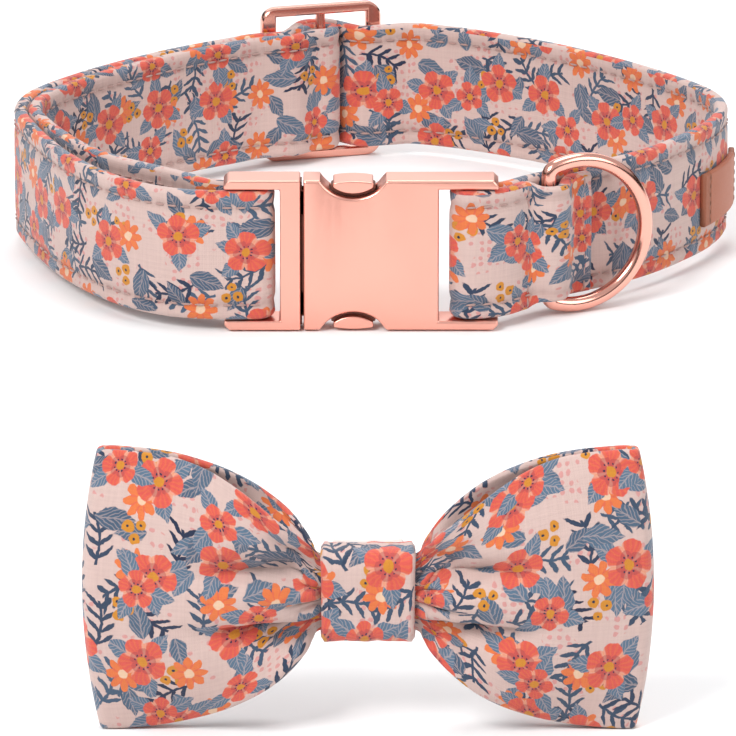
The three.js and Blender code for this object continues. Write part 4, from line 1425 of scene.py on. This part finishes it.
def label_piece():
    stations = layer(
        LABEL_PLACE, LABEL_PLACE + LABEL_LENGTH, lambda along: HALF + GAP + LABEL_THICK / 2,
        lambda along: LABEL_HEIGHT, STATION / 2)
    made = sweep("label_leather", stations, LABEL_THICK, LABEL_THICK / 3)
    made.data.transform(Matrix.Translation((0, 0, -LABEL_DROP * MM)))
    return made


# Stitches

def stitch_tree(material):
    """Geometry Nodes: lays a stitch on every step of the lines it is given."""
    tree = bpy.data.node_groups.new("Stitch lines", "GeometryNodeTree")
    tree.interface.new_socket("Geometry", in_out="INPUT", socket_type="NodeSocketGeometry")
    for name, default in (("Pitch", STITCH_PITCH), ("Length", STITCH_LENGTH), ("Thread", THREAD)):
        socket = tree.interface.new_socket(name, in_out="INPUT", socket_type=FLOAT)
        socket.default_value = default * MM
        socket.subtype = "DISTANCE"
    tree.interface.new_socket("Geometry", in_out="OUTPUT", socket_type="NodeSocketGeometry")
    graph = Graph(tree)
    entry = graph.node("NodeGroupInput")
    pitch, length, thread = (graph.wire(entry, name) for name in ("Pitch", "Length", "Thread"))

    def step(kind, inputs, **settings):
        return graph.wire(graph.node(kind, inputs, **settings))

    curve = step("GeometryNodeMeshToCurve", {"Mesh": graph.wire(entry, "Geometry")})
    spaced = step("GeometryNodeResampleCurve", {"Curve": curve, "Length": pitch}, mode="LENGTH")
    tangent = step("GeometryNodeInputTangent", {})
    aligned = step("FunctionNodeAlignRotationToVector", {"Vector": tangent}, axis="X")
    ball = step("GeometryNodeMeshUVSphere", {
        "Segments": STITCH_SIDES, "Rings": STITCH_RINGS, "Radius": 0.5})
    smoothed = step("GeometryNodeSetShadeSmooth", {"Geometry": ball})
    laid = step("GeometryNodeInstanceOnPoints", {
        "Points": spaced, "Instance": smoothed, "Rotation": aligned,
        "Scale": graph.join(length, thread, thread)})
    real = step("GeometryNodeRealizeInstances", {"Geometry": laid})
    dressed = step("GeometryNodeSetMaterial", {"Geometry": real, "Material": material})
    graph.node("NodeGroupOutput", {0: dressed})
    return tree


def sewn_piece(name, lines, material, sizes, thread_share=1.0):
    """A mesh of stitches along lines of points given in the source's frame."""
    points, edges = [], []
    for line in lines:
        base = len(points)
        points += line
        edges += [(base + k, base + k + 1) for k in range(len(line) - 1)]
    mesh = bpy.data.meshes.new(name + "_lines")
    mesh.from_pydata(place(points), edges, [])
    guide = link(name + "_guide", mesh)
    tree = stitch_tree(material)
    modifier = guide.modifiers.new("stitches", "NODES")
    modifier.node_group = tree
    values = {"Pitch": sizes.stitch_pitch, "Length": sizes.stitch_length, "Thread": sizes.thread}
    for item in tree.interface.items_tree:
        if item.in_out == "INPUT" and item.name in values:
            modifier[item.identifier] = values[item.name] * thread_share
    laid = guide.evaluated_get(bpy.context.evaluated_depsgraph_get())
    sewn = bpy.data.meshes.new_from_object(laid)
    sewn.name = name
    bpy.data.objects.remove(guide)
    bpy.data.node_groups.remove(tree)
    return link(name, sewn)


def upright_row(along, out, reach, drop=0):
    """A line of points that stands on the strap, for a row of stitches across it."""
    spot = SPINE.beside(along, out)
    half = ROW_POINTS // 2
    return [Vector((*spot, reach * (1 - k / half) - drop)) for k in range(ROW_POINTS)]


def strap_stitch_lines():
    """Two long rows on each face of the strap, and the short rows across its sewn end."""
    path = strap_path()
    stations = [p for p, _ in path]
    proud = HALF + STITCH_LIFT
    lines = []
    for face, side in ((1, 1), (1, -1), (-1, 1), (-1, -1)):
        line = []
        for i in range(1, len(path) - 1):
            (x, y, height), sewn = path[i]
            if sewn and height >= STRAP_HEIGHT - FREE_HEIGHT:
                out = outward(stations, i) * face * proud
                line.append(Vector((x, y, side * SEAM_UP)) + out)
            else:
                lines.append(line)
                line = []
        lines.append(line)
    lines = [line for line in lines if len(line) > 2]
    for along in END_SEAMS:
        reach = end_height(along) / 2 - END_ROW_INSET
        lines.append(upright_row(along, end_out(along) + proud, reach))
    return lines


def label_stitch_lines():
    """A row across the label beside each of its short ends."""
    reach = (LABEL_HEIGHT - LABEL_SEAM) / 2
    return [upright_row(along, HALF + GAP + LABEL_THICK, reach, LABEL_DROP)
            for along in (LABEL_PLACE + LABEL_SEAM, LABEL_PLACE + LABEL_LENGTH - LABEL_SEAM)]


# Operators

class COLLAR_OT_strap(bpy.types.Operator):
    """Builds the padded strap with its folds round the buckle, the ring and the slider"""

    bl_idname = "collar.strap"
    bl_label = "Strap"

    def execute(self, context):
        scene = context.scene
        stations = [p for p, _ in strap_path()]
        strap = sweep("strap_cloth", stations, STRAP_THICK, STRAP_EDGE, (SEAM_UP,),
                      scene.collar_sizes.puff / MM)
        cotton = cloth_material("Strap cotton", scene.collar_colours, SHIFT.z)
        finish_piece(strap, "collar", "printed_cotton", [cotton], "strap")
        return {"FINISHED"}


class COLLAR_OT_stitches(bpy.types.Operator):
    """Sews the strap and the label"""

    bl_idname = "collar.stitches"
    bl_label = "Stitches"

    def execute(self, context):
        sizes = context.scene.collar_sizes
        thread = thread_material("Cotton thread", context.scene.collar_colours.thread)
        strap = sewn_piece("strap_stitches", strap_stitch_lines(), thread, sizes)
        finish_piece(strap, "collar", "printed_cotton", [thread])
        waxed = thread_material("Waxed thread", WAXED_THREAD)
        label = sewn_piece("label_stitches", label_stitch_lines(), waxed, sizes, LABEL_STITCH)
        finish_piece(label, "collar", "leather", [waxed])
        return {"FINISHED"}


class COLLAR_OT_hardware(bpy.types.Operator):
    """Builds the buckle's two halves, the slider and the leash ring"""

    bl_idname = "collar.hardware"
    bl_label = "Hardware"

    def execute(self, context):
        metal = context.scene.collar_colours.metal
        cast = metal_material("Cast rose gold", metal, *CAST)
        # Painted shade: the inner pieces' metal is darkened to stand in for the shade inside the
        # buckle
        inside = metal_material("Recess painted shade", [c * RECESS_PAINTED_SHADE for c in metal], *RECESS_SURFACE)
        polished = metal_material("Polished rose gold", metal, *POLISHED)
        finish_piece(buckle_frame_piece(), "collar", "rose_gold", [cast, inside], "buckle_frame")
        body = copy_of_node("buckle_body", "buckle_body_cast", BODY_EDGE)
        finish_piece(body, "collar", "rose_gold", [cast], "buckle_body")
        slider = copy_of_node("slider", "slider_pressed", SLIDER_EDGE)
        finish_piece(slider, "collar", "rose_gold_wire", [polished], "slider")
        finish_piece(ring_piece(), "leash_ring", "rose_gold_wire", [polished], "d_ring")
        return {"FINISHED"}


class COLLAR_OT_label(bpy.types.Operator):
    """Builds the leather label on the strap's right side"""

    bl_idname = "collar.label"
    bl_label = "Leather label"

    def execute(self, context):
        hide = leather_material("Brown leather", context.scene.collar_colours.leather)
        finish_piece(label_piece(), "collar", "leather", [hide], "leather_label")
        return {"FINISHED"}


class COLLAR_OT_bow(bpy.types.Operator):
    """Builds the bow tie: its wings, its knot and the elastic loop behind it"""

    bl_idname = "collar.bow"
    bl_label = "Bow tie"

    def execute(self, context):
        cotton = cloth_material("Bow cotton", context.scene.collar_colours)
        wings = wings_piece(context.scene.collar_sizes.fold / MM)
        finish_piece(wings, "collar", "printed_cotton", [cotton], "bow_wings")
        knot_at = bow_origin() - Vector((0, 0, KNOT_DROP))
        knot = bent_piece("bow_knot_cloth", knot_at, KNOT_HEIGHT - KNOT_CLOTH, KNOT_DEEP,
                          KNOT_CORNER, KNOT_CLOTH, KNOT_WIDTH, KNOT_CREASE)
        finish_piece(knot, "collar", "printed_cotton", [cotton], "bow_knot")
        back = KNOT_DEEP / 2 + KNOT_CLOTH / 2 + GAP + LOOP_THICK + LOOP_DEPTH / 2
        loop_at = knot_at + Vector((0, back, -LOOP_DROP))
        loop = bent_piece("bow_loop_elastic", loop_at, LOOP_HEIGHT + LOOP_THICK,
                          LOOP_DEPTH + LOOP_THICK, LOOP_CORNER, LOOP_THICK, LOOP_WIDTH,
                          LOOP_CREASE)
        tape = elastic_material("Elastic tape", ELASTIC)
        finish_piece(loop, "collar", "elastic", [tape], "bow_loop")
        return {"FINISHED"}


def area_light(name, spot, aim, width, power):
    data = bpy.data.lights.new(name, "AREA")
    data.shape, data.size, data.energy = "DISK", width, power
    lamp = link(name, data)
    lamp.location = spot
    lamp.rotation_mode = "QUATERNION"
    lamp.rotation_quaternion = (Vector(aim) - Vector(spot)).to_track_quat("-Z", "Y")
    lamp.visible_camera = False


def paint_studio(world):
    """Lights the world by height: pale below, a dim room above the horizon, a bright ceiling."""
    graph = Graph(world.node_tree)
    height = graph.parts(graph.wire(graph.node("ShaderNodeTexCoord"), "Generated"))[2]
    ramp = graph.node("ShaderNodeValToRGB", {0: height})
    elements = ramp.color_ramp.elements
    for spot, _ in STUDIO[1:-1]:
        elements.new(spot)
    for element, (spot, level) in zip(elements, STUDIO):
        element.position = spot
        element.color = (*[level * tint for tint in STUDIO_TINT], 1)
    graph.fill(world.node_tree.nodes["Background"], {0: graph.wire(ramp), 1: STUDIO_POWER})


class COLLAR_OT_stage(bpy.types.Operator):
    """Sets the floor, the studio light and the camera"""

    bl_idname = "collar.stage"
    bl_label = "Stage"

    def execute(self, context):
        scene = context.scene
        mesh = bpy.data.meshes.new("floor")
        corners = ((-1, -1), (1, -1), (1, 1), (-1, 1))
        mesh.from_pydata([(x * FLOOR_REACH, y * FLOOR_REACH, 0) for x, y in corners], [],
                         [(0, 1, 2, 3)])
        floor = link("floor", mesh)
        paper, graph, surface = new_material("White paper")
        graph.fill(surface, {
            "Base Color": (*PAPER, 1), "Specular IOR Level": 0.1,
            "Roughness": 0.85 + graph.noise(graph.where(), 30.0) * 0.1})
        mesh.materials.append(paper)
        world = scene.world or bpy.data.worlds.new("World")
        scene.world = world
        world.use_nodes = True
        paint_studio(world)
        for light in LIGHTS:
            area_light(*light)
        data = bpy.data.cameras.new("camera")
        data.sensor_width = SENSOR
        data.lens = SENSOR * LENS_PIXELS / FRAME_PIXELS
        data.clip_start, data.clip_end = CLIP
        camera = link("camera", data)
        ground = SHIFT - Vector((0, 0, SLIDER_HEIGHT / 2 - SLIDER_LIFT))
        camera.location = (Vector(CAMERA_PLACE) + ground) * MM
        camera.rotation_euler = (math.radians(90 - CAMERA_PITCH), 0, 0)
        scene.camera = camera
        scene.view_settings.view_transform = "Standard"
        scene.view_settings.look = "None"
        return {"FINISHED"}


class COLLAR_PT_panel(bpy.types.Panel):
    """Lists the collar's settings and the steps that build it"""

    bl_idname = "COLLAR_PT_panel"
    bl_label = "Pet Bow Tie Collar"
    bl_space_type = "VIEW_3D"
    bl_region_type = "UI"
    bl_category = "Collar"

    def draw(self, context):
        layout = self.layout
        for group in (context.scene.collar_sizes, context.scene.collar_colours):
            box = layout.box()
            for key in group.__annotations__:
                box.prop(group, key)
        for step in STEPS:
            layout.operator(step.bl_idname)


STEPS = (COLLAR_OT_stage, COLLAR_OT_strap, COLLAR_OT_hardware, COLLAR_OT_label,
         COLLAR_OT_bow, COLLAR_OT_stitches)
CLASSES = (CollarSizes, CollarColours, *STEPS, COLLAR_PT_panel)


def register():
    for cls in CLASSES:
        bpy.utils.register_class(cls)
    bpy.types.Scene.collar_sizes = bpy.props.PointerProperty(type=CollarSizes)
    bpy.types.Scene.collar_colours = bpy.props.PointerProperty(type=CollarColours)


def unregister():
    del bpy.types.Scene.collar_colours
    del bpy.types.Scene.collar_sizes
    for cls in reversed(CLASSES):
        bpy.utils.unregister_class(cls)


def main():
    register()
    bpy.ops.collar.stage()
    bpy.ops.collar.strap()
    bpy.ops.collar.hardware()
    bpy.ops.collar.label()
    bpy.ops.collar.bow()
    bpy.ops.collar.stitches()


if __name__ == "__main__":
    main()
